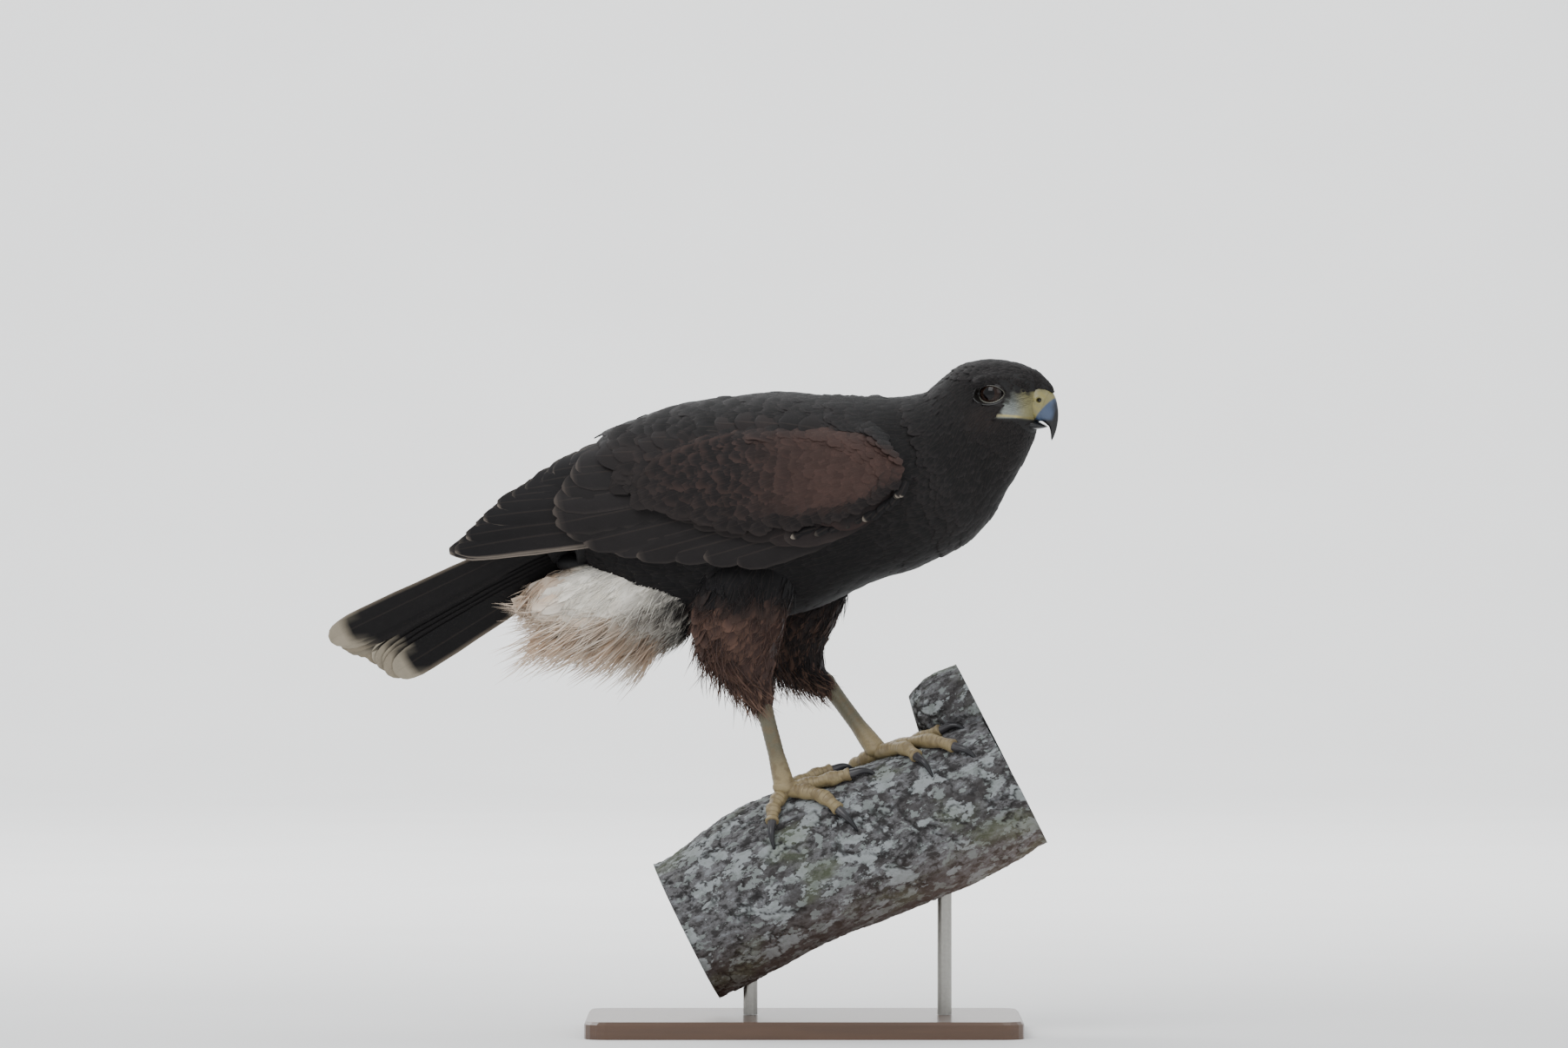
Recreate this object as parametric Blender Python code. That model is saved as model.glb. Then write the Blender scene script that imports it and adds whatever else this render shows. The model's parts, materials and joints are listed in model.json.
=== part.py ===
"""A life-size Harris hawk gripping a short cut log, on a plain display stand.

The bird faces +X with its right side towards -Y. Lengths are in millimetres and MM turns them into metres.
Heights are above the floor that the stand's base rests on.
"""

import math
import random

import bmesh
import bpy
from mathutils import Matrix, Vector
from mathutils.bvhtree import BVHTree

MM = 0.001
GAP = 0.3
SIDES = {"right": -1, "left": 1}

# Body sections from the rump to the face: x and height of the top, x and height of the bottom, half width.
BODY = [
    (-92, 361, -80, 332, 14),
    (-66, 390, -57, 310, 29),
    (-36, 411, -26, 291, 41),
    (-3, 427, 9, 285, 50),
    (30, 435, 48, 286, 55),
    (66, 439, 89, 296, 57),
    (99, 437, 126, 312, 55),
    (126, 438, 161, 324, 50),
    (147, 440, 189, 340, 43.5),
    (161, 444, 206, 358, 36),
    (170, 451, 217, 376, 31),
    (179, 457, 228.5, 394, 27.5),
    (189, 461.5, 234.4, 406, 25),
    (201, 463.5, 236.4, 413, 23.5),
    (213, 463.8, 237.1, 416.5, 22),
    (226.5, 461.5, 237.7, 418.2, 19.5),
    (237, 457, 238.2, 419.3, 15),
    (243.5, 452, 238.8, 420.5, 8.8),
]
BODY_SIDES = 20
TORSO_END = 8
NECK_END = 11
HEAD_END = 17
CUT = 0.012
HEAD_TURN = math.radians(25)
HEAD_SQUARE = 0.82

# The surface that the folded wings lie on, in sections like the body's.
WING_GUIDE = [
    (-250, 326, -232, 270, 20),
    (-190, 362, -170, 290, 27),
    (-125, 393, -106, 300, 34),
    (-66, 413, -50, 292, 44),
    (-36, 424, -20, 286, 53),
    (-3, 434, 12, 280, 60),
    (30, 438.5, 48, 280, 65),
    (66, 441, 89, 290, 66.5),
    (99, 439, 126, 306, 64.5),
    (126, 440, 161, 320, 59),
    (147, 442, 189, 338, 50),
    (161, 445, 206, 356, 40),
]
WING_OUTLINE = [
    (147, 384),
    (141.6, 369),
    (130, 358),
    (108, 350),
    (72, 340),
    (30, 335),
    (-6, 338),
    (-32, 348),
    (-42, 368),
    (-34, 391),
    (-4, 407),
    (42, 417),
    (96, 417),
    (126, 409),
    (142, 398),
]
# Tiers of wing feathers: count, curve of the roots, curve of the tips, half width, height of the roots and
# tips over the wing's surface, slope across each vane and the outline of one vane.
PRIMARIES = (
    5,
    [(-20, 386), (-10, 368), (-6, 352)],
    [(-98, 383), (-133, 363), (-170, 328)],
    10.5,
    (-6.2, -5),
    0.14,
    "long",
)
SECONDARIES = (
    7,
    [(0, 400), (30, 390), (58, 378), (86, 366), (111, 356)],
    [(-80, 390), (-95, 367), (-88, 344), (-40, 331), (24, 327)],
    13.5,
    (-5, 0.5),
    0.13,
    "long",
)
GREATER_COVERTS = (
    6,
    [(24, 406), (60, 395), (95, 380), (124, 362)],
    [(-39, 397), (-34, 373), (4, 350), (62, 340)],
    12.5,
    (-4, 2.2),
    0.13,
    "short",
)
MEDIAN_COVERTS = (
    4,
    [(62, 409), (100, 396), (134, 376)],
    [(8, 402), (34, 367), (92, 352)],
    13,
    (-3, 3.4),
    0.13,
    "short",
)
SCAPULARS = (
    4,
    [(112, 406), (80, 411), (45, 410), (6, 402)],
    [(50, 415), (12, 418), (-26, 411), (-66, 399)],
    13,
    (-3, 4.8),
    0,
    "short",
)
WING_TIERS = (PRIMARIES, SECONDARIES, GREATER_COVERTS, MEDIAN_COVERTS, SCAPULARS)
# Outlines of a lock and of vanes: how far along, and the share of the width there.
LOCK_OUTLINE = [(0.0, 0.8), (0.5, 1.0), (0.82, 0.74), (1.0, 0.3)]
VANE_OUTLINES = {
    "long": [(0.0, 0.5), (0.4, 1.0), (0.86, 0.86), (1.0, 0.25)],
    "short": [(0.0, 0.6), (0.75, 1.0), (1.0, 0.35)],
    "tail": [(0.0, 0.42), (0.45, 0.92), (0.93, 0.92), (1.0, 0.35)],
}
WING_RINGS = [(0.0, -0.4), (0.45, -0.5), (0.8, -1.0), (0.95, -2.5), (1.0, -5.0)]
WING_RIM = 32
WING_DEPTH = 26

EYE = (212.5, 12.4, 440.4)
EYE_RADIUS = 10.4
LID_THICK = 1.3
EYE_OPENING = (7.9, 6.1)
EYE_GRID = (14, 7)

BILL = [
    (238, 443.5, 234.5, 425.5, 9.2),
    (243.5, 445, 237.3, 424.5, 8.9),
    (249, 442.5, 241.8, 422.3, 7.8),
    (253.4, 437.5, 245.3, 420.6, 6.3),
    (255.9, 431, 247.4, 419, 4.8),
    (256.5, 424, 249, 417, 3.4),
    (255.5, 417, 250, 413.5, 2.1),
    (253, 411, 250.4, 409.8, 1.1),
    (251, 408.2, 250.6, 407.9, 0.5),
]
BILL_SIDES = 14
CERE_END = 2.35
LOWER_BILL = [
    (232, 423.3, 232, 415.5, 7.6),
    (237, 423.3, 237.5, 415.8, 7.2),
    (241.5, 421.2, 241.8, 416.2, 5.8),
    (245, 419.6, 245, 416.8, 3.8),
    (247.2, 418.1, 247, 417.4, 1.6),
]
NOSTRIL = (244.2, 6.6, 436.0)
GAPE = [(238.5, 7.6, 424.8), (228, 14.5, 424.6), (217, 18.6, 424.2), (207, 20.6, 422.6)]

TAIL_ROOT = Vector((-56, 0, 355))
TAIL_SLOPE = math.radians(30.6)
TAIL_ROLL = math.radians(42)
TAIL_ROLL_LENGTH = 75
TAIL_LENGTH = 204
TAIL_SKEW = 0.5
TAIL_ARCH = 0.006
RECTRIX_STEP = 3.7
RECTRIX_HALF_WIDTH = 11.2
RECTRIX_ROOT = 24
RECTRIX_DROP = 0.4
UPPER_COVERTS = (3, [(10, -10), (10, 10)], [(66, -14), (74, 0), (66, 14)], 9, (3.4, 3.0), 0.15, "short")
LAYER = 0.95
VANE_THICK = 0.6

LOG = [
    (-6, 69.5, 51.5),
    (12, 78.6, 52.5),
    (60, 106.2, 56),
    (120, 131.4, 53.5),
    (180, 155, 51),
    (232, 182, 50),
]
KNOB = [
    (250, 14, 214, 45),
    (232, 16, 220, 42),
    (205, 20, 226, 35),
    (178, 22, 226, 27),
    (158, 22, 221, 19),
    (151, 22, 219, 13),
]
LOG_END = (220, 176)
LOG_END_SLOPE = math.radians(27)
LOG_SIDES = 16
LOG_RINGS = 10

BASE_SIZE = (300, 180, 12)
BASE_CENTRE = 75
BASE_CORNER = 14
BASE_BEVEL = 2
ROD_RADIUS = 5
RODS = {"rear": 38, "front": 172}


def between(rows, t):
    """A smooth curve through the rows, read at t counted in rows."""
    i = min(max(int(t), 0), len(rows) - 2)
    f = t - i
    a = rows[max(i - 1, 0)]
    b = rows[i]
    c = rows[i + 1]
    d = rows[min(i + 2, len(rows) - 1)]
    values = []
    for p, q, r, s in zip(a, b, c, d):
        bend = (2 * p - 5 * q + 4 * r - s) * f * f + (3 * q - p - 3 * r + s) * f**3
        values.append(0.5 * (2 * q + (r - p) * f + bend))
    return tuple(values)


def steps(start, end, count):
    """count + 1 even values from start to end."""
    return [start + (end - start) * k / count for k in range(count + 1)]


def smooth(t):
    t = min(max(t, 0.0), 1.0)
    return t * t * (3 - 2 * t)


def skin(rings):
    """Vertices and triangles of a closed shape from rings of equal count, with a fan at each end."""
    sides = len(rings[0])
    points = [Vector(p) for ring in rings for p in ring]
    faces = []
    for r in range(len(rings) - 1):
        for k in range(sides):
            a = r * sides + k
            b = r * sides + (k + 1) % sides
            faces.append((a, b, b + sides))
            faces.append((a, b + sides, a + sides))
    for r in (0, len(rings) - 1):
        first = r * sides
        points.append(sum(points[first : first + sides], Vector()) / sides)
        for k in range(sides):
            faces.append((first + k, first + (k + 1) % sides, len(points) - 1))
    return points, faces


def section_ring(row, sides, grow=0.0, square=1.0):
    """A ring of points around a section row: top, bottom and half width."""
    top = Vector((row[0], 0, row[1]))
    low = Vector((row[2], 0, row[3]))
    middle = (top + low) / 2
    up = (top - low).normalized()
    reach = (top - low).length / 2 + grow
    width = row[4] + grow
    ring = []
    for k in range(sides):
        angle = 2 * math.pi * k / sides
        across = math.copysign(abs(math.sin(angle)) ** square, math.sin(angle))
        ring.append(middle + up * reach * math.cos(angle) + Vector((0, width * across, 0)))
    return ring


def section_middle(row):
    return Vector(((row[0] + row[2]) / 2, 0, (row[1] + row[3]) / 2))


def turned(t):
    """The matrix that carries the body section at t to its place on the turned neck."""
    place = Matrix.Identity(4)
    count = 24
    for u in steps(TORSO_END, min(t, NECK_END), count)[1:] if t > TORSO_END else []:
        part = -HEAD_TURN / count * (min(t, NECK_END) - TORSO_END) / (NECK_END - TORSO_END)
        pivot = section_middle(between(BODY, u))
        spin = Matrix.Translation(pivot) @ Matrix.Rotation(part, 4, "Z") @ Matrix.Translation(-pivot)
        place = place @ spin
    return place


HEAD_PLACE = turned(NECK_END)


def on_head(shape):
    """A shape drawn on the straight head, carried to the turned head."""
    points, faces = shape
    return [HEAD_PLACE @ Vector(p) for p in points], faces


def body_loft(start, end, count, grow=0.0):
    rings = []
    for t in steps(start, end, count):
        square = 1.0 - (1.0 - HEAD_SQUARE) * smooth((t - NECK_END + 1) / 3)
        place = turned(t)
        ring = section_ring(between(BODY, t), BODY_SIDES, grow, square)
        rings.append([place @ p for p in ring])
    return skin(rings)


def tube(path, radii, sides, flat=1.0, up=Vector((0, 0, 1))):
    """A closed tube along a path; flat scales its thickness along up."""
    path = [Vector(p) for p in path]
    rings = []
    for k, point in enumerate(path):
        ahead = path[min(k + 1, len(path) - 1)] - path[max(k - 1, 0)]
        ahead.normalize()
        side = ahead.cross(up).normalized()
        lift = side.cross(ahead)
        ring = []
        for s in range(sides):
            angle = 2 * math.pi * (s + 0.5) / sides
            ring.append(point + (side * math.cos(angle) + lift * math.sin(angle) * flat) * radii[k])
        rings.append(ring)
    return skin(rings)


def smooth_path(points, count):
    return [between(points, t) for t in steps(0, len(points) - 1, count)]


def ball(middle, radii, around=16, rings=8):
    middle = Vector(middle)
    loops = []
    for r in range(1, rings):
        tilt = math.pi * r / rings
        loop = []
        for k in range(around):
            angle = 2 * math.pi * k / around
            wide = math.sin(tilt)
            spot = Vector((wide * math.cos(angle), wide * math.sin(angle), math.cos(tilt)))
            loop.append(middle + Vector(s * r for s, r in zip(spot, radii)))
        loops.append(loop)
    return skin(loops)


def vane(chart, root, tip, half_width, lifts, slope, outline):
    """A flat feather whose two faces are split alike. chart(a, b, h) places it; b counts across it."""
    root = Vector(root)
    tip = Vector(tip)
    along = (tip - root).normalized()
    across = Vector((-along.y, along.x))
    widths = VANE_OUTLINES[outline]
    outer = []
    inner = []
    for t, share in widths:
        spot = root.lerp(tip, t)
        lift = lifts[0] + (lifts[1] - lifts[0]) * t
        for column in (-1, 0, 1):
            off = column * half_width * share
            place = spot + across * off
            height = lift + slope * off
            outer.append(chart(place.x, place.y, height + VANE_THICK / 2))
            inner.append(chart(place.x, place.y, height - VANE_THICK / 2))
    rows = len(widths)
    points = outer + inner
    back = len(outer)
    faces = []
    for r in range(rows - 1):
        for c in range(2):
            a = r * 3 + c
            faces += [(a, a + 1, a + 4), (a, a + 4, a + 3)]
            faces += [(back + a, back + a + 4, back + a + 1), (back + a, back + a + 3, back + a + 4)]
        for c in (0, 2):
            a = r * 3 + c
            faces += [(a, a + 3, back + a + 3), (a, back + a + 3, back + a)]
    for a in (0, (rows - 1) * 3):
        for c in range(2):
            faces += [(a + c, a + c + 1, back + a + c + 1), (a + c, back + a + c + 1, back + a + c)]
    return points, faces


def lock(root, tip, across, width, thick, droop):
    """A flat tapered lock from root to tip, which bends down on its way."""
    root = Vector(root)
    tip = Vector(tip)
    across = Vector(across)
    along = (tip - root).normalized()
    across = (across - along * across.dot(along)).normalized()
    normal = along.cross(across)
    loops = []
    for t, share in LOCK_OUTLINE:
        spot = root.lerp(tip, t) + Vector((0, 0, -droop * t * t))
        half = width / 2 * share
        deep = thick / 2 * (0.5 + 0.5 * share)
        side = across * half
        face = normal * deep
        loops.append([spot + side, spot + face, spot - side, spot - face])
    return skin(loops)


def mesh_object(name, shape):
    points, faces = shape
    mesh = bpy.data.meshes.new(name)
    mesh.from_pydata([tuple(p) for p in points], [], faces)
    bm = bmesh.new()
    bm.from_mesh(mesh)
    bmesh.ops.recalc_face_normals(bm, faces=bm.faces)
    bm.to_mesh(mesh)
    bm.free()
    return bpy.data.objects.new(name, mesh)


def settle(obj):
    """Applies the object's modifiers to its own mesh."""
    bpy.context.view_layer.update()
    graph = bpy.context.evaluated_depsgraph_get()
    mesh = bpy.data.meshes.new_from_object(obj.evaluated_get(graph))
    obj.modifiers.clear()
    obj.data = mesh


def keep_largest(obj):
    """Leaves only the closed surface with the most volume."""
    bm = bmesh.new()
    bm.from_mesh(obj.data)
    bmesh.ops.triangulate(bm, faces=bm.faces)
    bm.verts.ensure_lookup_table()
    seen = set()
    bodies = []
    for start in bm.verts:
        if start in seen:
            continue
        body = [start]
        seen.add(start)
        for vert in body:
            for edge in vert.link_edges:
                other = edge.other_vert(vert)
                if other not in seen:
                    seen.add(other)
                    body.append(other)
        faces = {face for vert in body for face in vert.link_faces}
        volume = sum(f.verts[0].co.dot(f.verts[1].co.cross(f.verts[2].co)) for f in faces)
        bodies.append((volume, body))
    bodies.sort(key=lambda item: item[0])
    bmesh.ops.delete(bm, geom=[v for _, body in bodies[:-1] for v in body], context="VERTS")
    bm.to_mesh(obj.data)
    bm.free()


def fuse(name, shapes, cutters=(), solver="EXACT"):
    """One closed body from overlapping shapes, less the cutters."""
    obj = mesh_object(name, shapes[0])
    bpy.context.scene.collection.objects.link(obj)
    jobs = [("UNION", shapes[1:]), ("DIFFERENCE", list(cutters))]
    for operation, group in jobs:
        if not group:
            continue
        pieces = bpy.data.collections.new(name + "_pieces")
        bpy.context.scene.collection.children.link(pieces)
        for shape in group:
            pieces.objects.link(mesh_object(name + "_piece", shape))
        join = obj.modifiers.new("join", "BOOLEAN")
        join.operation = operation
        join.operand_type = "COLLECTION"
        join.collection = pieces
        join.solver = solver
        settle(obj)
        for piece in list(pieces.objects):
            bpy.data.objects.remove(piece)
        bpy.data.collections.remove(pieces)
    keep_largest(obj)
    return obj


def tree_of(shape):
    points, faces = shape
    return BVHTree.FromPolygons([tuple(p) for p in points], faces)


def guide_tree():
    rings = [section_ring(between(WING_GUIDE, t), 36) for t in steps(0, len(WING_GUIDE) - 1, 30)]
    return tree_of(skin(rings))


def side_reach(tree, x, z):
    """How far out the wings' surface lies at this place of the side view."""
    far = 200.0
    hit = tree.ray_cast(Vector((x, -far, z)), Vector((0, 1, 0)))[0]
    return -hit.y if hit else 8.0


def wing_chart(tree, side):
    return lambda x, z, h: Vector((x, side * (side_reach(tree, x, z) + h), z))


def wing_core(tree, side):
    chart = wing_chart(tree, side)
    outline = smooth_path(WING_OUTLINE + WING_OUTLINE[:1], WING_RIM)[:-1]
    middle = sum((Vector(p) for p in outline), Vector((0, 0))) / len(outline)
    rings = []
    for share, lift in WING_RINGS[1:]:
        ring = [middle.lerp(Vector(p), share) for p in outline]
        rings.append([chart(p.x, p.y, lift) for p in ring])
    rings.append([chart(p[0], p[1], -WING_DEPTH) for p in outline])
    return skin(rings)


def wing(side_name, tree, torso_room, extra_room):
    side = SIDES[side_name]
    shapes = [wing_core(tree, side)]
    shapes += wing_vanes(wing_chart(tree, side))
    return fuse("wing_" + side_name, shapes, [torso_room, extra_room], "MANIFOLD")


def tier(chart, count, roots, tips, half_width, lifts, slope, outline):
    """A row of overlapping vanes from root and tip curves, each drawn through a few points."""
    shapes = []
    for k in range(count):
        share = k / (count - 1)
        root = between(roots, share * (len(roots) - 1))
        tip = between(tips, share * (len(tips) - 1))
        shapes.append(vane(chart, root, tip, half_width, lifts, slope, outline))
    return shapes


def wing_vanes(chart):
    """Every tier of the folded wing, from the primaries underneath to the scapulars on top."""
    shapes = []
    for row in WING_TIERS:
        shapes += tier(chart, *row)
    return shapes


def tail_chart(a, b, h):
    """A place on the tail: a along it, b towards the bird's right edge, h above its upper face."""
    ahead = Vector((-math.cos(TAIL_SLOPE), 0, -math.sin(TAIL_SLOPE)))
    up = Vector((-math.sin(TAIL_SLOPE), 0, math.cos(TAIL_SLOPE)))
    right = Vector((0, -1, 0))
    roll = TAIL_ROLL * smooth(a / TAIL_ROLL_LENGTH)
    across = right * math.cos(roll) + up * math.sin(roll)
    normal = up * math.cos(roll) - right * math.sin(roll)
    return TAIL_ROOT + ahead * a + across * b + normal * (h - TAIL_ARCH * b * b)


def tail_core(grow=0.0):
    rows = [(-12, 15, 11), (12, 16.5, 9), (34, 15, 6.5), (52, 11, 4)]
    rings = []
    for a, half_width, half_height in rows:
        ring = []
        for k in range(14):
            angle = 2 * math.pi * k / 14
            b = (half_width + grow) * math.cos(angle)
            h = (half_height + grow) * math.sin(angle) - 2
            ring.append(tail_chart(a, b, h))
        rings.append(ring)
    return skin(rings)


def tail_room(grow=1.2):
    """The tail's whole space, which its neighbours keep clear of."""
    rings = []
    for a in steps(-12, TAIL_LENGTH + 20, 12):
        half_width = 19 + grow + 14 * smooth(a / TAIL_LENGTH)
        ring = []
        for k in range(16):
            angle = 2 * math.pi * k / 16
            thick = 12 - 5 * smooth(a / 50)
            b = half_width * math.cos(angle)
            ring.append(tail_chart(a, b, (thick + grow) * math.sin(angle) - 2))
        rings.append(ring)
    return skin(rings)


def half_tail_chart(side):
    """The tail's chart, kept to one side of its middle line."""
    return lambda a, b, h: tail_chart(a, side * max(side * b, GAP * 0.7), h)


def rectrices():
    """Twelve tail feathers, each pair under the one nearer the middle."""
    shapes = []
    for pair in range(6):
        for side in (1, -1):
            chart = half_tail_chart(side) if pair else tail_chart
            layer = -LAYER * pair if pair or side == 1 else LAYER
            root = (RECTRIX_ROOT, side * (1 + pair))
            off = side * (2 + RECTRIX_STEP * pair)
            tip = (TAIL_LENGTH + TAIL_SKEW * off - RECTRIX_DROP * pair, off)
            shapes.append(vane(chart, root, tip, RECTRIX_HALF_WIDTH, (layer, layer), 0, "tail"))
    return shapes


def tail(torso_room):
    shapes = [tail_core()] + rectrices()
    shapes += tier(tail_chart, *UPPER_COVERTS)
    return fuse("tail", shapes, [torso_room], "MANIFOLD")


UNDERTAIL = [
    (-8, 335, 2, 284, 27),
    (-40, 330, -25, 274, 29),
    (-70, 326, -52, 275, 25),
    (-94, 320, -80, 284, 18),
    (-108, 312, -99, 296, 9),
]


def undertail_locks():
    """Soft locks that hang back and down from the vent."""
    draw = random.Random(7)
    shapes = []
    for row, (t, fall, long) in enumerate(UNDERTAIL_ROWS):
        ring = section_ring(between(UNDERTAIL, t), 72)
        middle = section_middle(between(UNDERTAIL, t))
        for k in range(4 - row % 2):
            turn = 180 + (k - 1.5 + 0.5 * (row % 2)) * UNDERTAIL_SPREAD
            spot = ring[round(turn / 5) % 72]
            out = (spot - middle).normalized()
            angle = math.radians(fall + draw.uniform(-7, 7))
            ahead = Vector((-math.cos(angle), out.y * 0.15, -math.sin(angle)))
            tip = spot + out + ahead * long * draw.uniform(0.85, 1.15)
            across = Vector((0, out.z, -out.y))
            shapes.append(lock(spot - out * 4 - ahead * 3, tip, across, *UNDERTAIL_LOCK))
    return shapes


def undertail(torso_room):
    rings = [section_ring(between(UNDERTAIL, t), 14) for t in steps(0, len(UNDERTAIL) - 1, 7)]
    return fuse("undertail", [skin(rings)] + undertail_locks(), [torso_room, tail_room()], "MANIFOLD")


# Rows of locks: place along the undertail, angle below level and length.
UNDERTAIL_ROWS = [(1.0, 54, 26), (1.9, 46, 30), (2.8, 38, 32), (3.6, 30, 28)]
UNDERTAIL_SPREAD = 55
# Width, thickness and droop of a lock.
UNDERTAIL_LOCK = (25, 3.0, 5)

# Each thigh's sections from the top down: x, height, half length, half width and distance off the middle.
THIGHS = {
    "right": [
        (40, 332, 28, 15, 31),
        (38, 308, 31, 17, 33),
        (34, 288, 29.5, 17, 33),
        (32.5, 268, 25, 15, 31),
        (38, 251, 16, 11, 29),
        (45, 238, 9, 8.2, 27),
        (47, 229, 6.4, 6.4, 26),
    ],
    "left": [
        (80, 330, 28, 15, 31),
        (76, 308, 30, 17, 33),
        (72, 288, 27, 17, 33),
        (68, 268, 22, 14.5, 31),
        (75, 253, 15, 11, 29),
        (86, 244, 9.5, 8.2, 27),
        (91.5, 239, 7, 6.6, 26),
    ],
}


def thigh_spot(rows, side, t, angle):
    x, z, long, wide, off = between(rows, t)
    return Vector((x + long * math.cos(angle), side * off + wide * math.sin(angle), z))


def thigh_locks(rows, side):
    """Shaggy locks round the back and sides of the thigh, hanging down and a little back."""
    draw = random.Random(11 + side)
    shapes = []
    for row, (t, long) in enumerate(THIGH_ROWS):
        for k in range(5 - row):
            angle = math.radians(180 + (k - (4 - row) / 2) * THIGH_SPREAD + draw.uniform(-5, 5))
            spot = thigh_spot(rows, side, t, angle)
            out = Vector((math.cos(angle), math.sin(angle), 0))
            ahead = Vector((-0.36, 0, -0.93)) + out * 0.1
            tip = spot + out * 1.2 + ahead * long * draw.uniform(0.85, 1.15)
            across = Vector((-out.y, out.x, 0))
            shapes.append(lock(spot - out * 3.5 - ahead * 3, tip, across, *THIGH_LOCK))
    return shapes


def thigh(side_name, rooms):
    side = SIDES[side_name]
    rings = []
    rows = THIGHS[side_name]
    for t in steps(0, len(rows) - 1, 10):
        rings.append([thigh_spot(rows, side, t, 2 * math.pi * k / 16) for k in range(16)])
    return fuse("thigh_" + side_name, [skin(rings)] + thigh_locks(rows, side), rooms, "MANIFOLD")


# Rows of locks: place down the thigh and length.
THIGH_ROWS = [(2.7, 27), (3.5, 24), (4.3, 19)]
THIGH_SPREAD = 48
THIGH_LOCK = (17, 2.6, 2)

# Legs: where the bare shank leaves the thigh, where the foot's pad is, and each toe's way over the log.
LEGS = {
    "right": {
        "top": (46.6, -26, 228.6),
        "pad": (64, -22),
        "toes": {
            "middle": [(64, -22), (80, -24), (96, -27), (108, -29)],
            "outer": [(64, -22), (78, -31), (90, -40), (99, -46.5)],
            "inner": [(64, -22), (74, -16), (85, -10), (95, -6)],
            "rear": [(64, -22), (58, -28), (55, -34), (54, -41)],
        },
    },
    "left": {
        "top": (92.5, 26, 238.4),
        "pad": (127, 8),
        "toes": {
            "middle": [(127, 8), (145, -7), (163, -22), (179, -34)],
            "outer": [(127, 8), (142, 5), (158, -1), (171, -7)],
            "inner": [(127, 8), (137, -7), (146, -21), (153, -32)],
            "rear": [(127, 8), (118, 13), (112, 19), (106, 26)],
        },
    },
}
SHANK_RADIUS = 5.0
TOE_RADII = (5.4, 4.4, 4.2, 3.7)
TOE_SINK = 0.8
CLAW_LENGTH = 23
CLAW_RADIUS = 3.1
CLAW_STEPS = 7
CLAW_RISE = math.radians(14)
CLAW_CURVE = math.radians(90)
PAD_HEIGHT = 7.5
SHANK_TUCK = 6
SHANK_END = 0.84


def on_log(tree, x, y, height):
    """A place this high above the log's bark."""
    hit, normal = tree.ray_cast(Vector((x, y, 400)), Vector((0, 0, -1)))[:2]
    return hit + normal * height


def toe_path(tree, plan):
    points = [tuple(on_log(tree, x, y, TOE_RADII[k] * TOE_SINK)) for k, (x, y) in enumerate(plan)]
    return [Vector(p) for p in smooth_path(points, 6)]


def shank_shape(side_name, log_tree, grow=0.0):
    """The bare shank, from inside the thigh's feathers down to the foot."""
    leg = LEGS[side_name]
    pad = on_log(log_tree, *leg["pad"], PAD_HEIGHT)
    top = Vector(leg["top"])
    down = (pad - top).normalized()
    path = [top - down * SHANK_TUCK, top, top.lerp(pad, 0.3), top.lerp(pad, 0.6), top.lerp(pad, SHANK_END)]
    radii = [SHANK_RADIUS + swell + grow for swell in (0.2, 0.4, -0.3, -0.2, 0.9)]
    return tube(path, radii, 12, up=Vector((1, 0, 0)))


def shank_and_foot(side_name, log_tree, log_room):
    leg = LEGS[side_name]
    shank = fuse("shank_" + side_name, [shank_shape(side_name, log_tree)])
    pad = on_log(log_tree, *leg["pad"], PAD_HEIGHT)
    down = (pad - Vector(leg["top"])).normalized()
    start = Vector(leg["top"]).lerp(pad, SHANK_END) + down * GAP
    radii = [SHANK_RADIUS + 0.9, 7.4, 5]
    shapes = [tube([start, pad, pad + down * 3], radii, 12, up=Vector((1, 0, 0)))]
    claws = []
    for name, plan in leg["toes"].items():
        path = toe_path(log_tree, plan)
        path[0] = pad
        radii = [between([(r,) for r in TOE_RADII], t)[0] for t in steps(0, 3, 6)]
        shapes.append(tube(path, radii, 7))
        claws.append(claw(f"claw_{side_name}_{name}", log_tree, log_room, path))
    return [shank, fuse("foot_" + side_name, shapes, log_room)] + claws


def claw(name, log_tree, log_room, path):
    """A curved talon that starts a gap beyond its toe's end."""
    ahead = (path[-1] - path[-2]).normalized()
    normal = log_tree.find_nearest(path[-1])[1]
    normal = (normal - ahead * ahead.dot(normal)).normalized()
    spot = path[-1] + ahead * GAP
    points = [spot.copy()]
    radii = [CLAW_RADIUS]
    for k in range(CLAW_STEPS):
        t = k / CLAW_STEPS
        angle = CLAW_RISE * math.sin(math.pi * min(2 * t, 1)) - CLAW_CURVE * t**1.3
        spot = spot + (ahead * math.cos(angle) + normal * math.sin(angle)) * CLAW_LENGTH / CLAW_STEPS
        points.append(spot.copy())
        radii.append(CLAW_RADIUS * (1 - (k + 1) / CLAW_STEPS) ** 0.8 + 0.25)
    return fuse(name, [tube(points, radii, 6, up=normal)], log_room)


def log_shape(grow=0.0):
    rings = []
    for t in steps(0, len(LOG) - 1, LOG_RINGS):
        x, z, radius = between(LOG, t)
        before = between(LOG, max(t - 0.05, 0))
        after = between(LOG, min(t + 0.05, len(LOG) - 1))
        ahead = Vector((after[0] - before[0], 0, after[1] - before[1])).normalized()
        up = Vector((-ahead.z, 0, ahead.x))
        ring = []
        for k in range(LOG_SIDES):
            angle = 2 * math.pi * k / LOG_SIDES
            wave = 1.2 * math.sin(3 * angle + 1.1 * t) + 0.9 * math.sin(5 * angle - 2.3 * t)
            reach = radius + wave + grow
            ring.append(Vector((x, reach * math.sin(angle), z)) + up * reach * math.cos(angle))
        rings.append(ring)
    return skin(rings)


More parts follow.
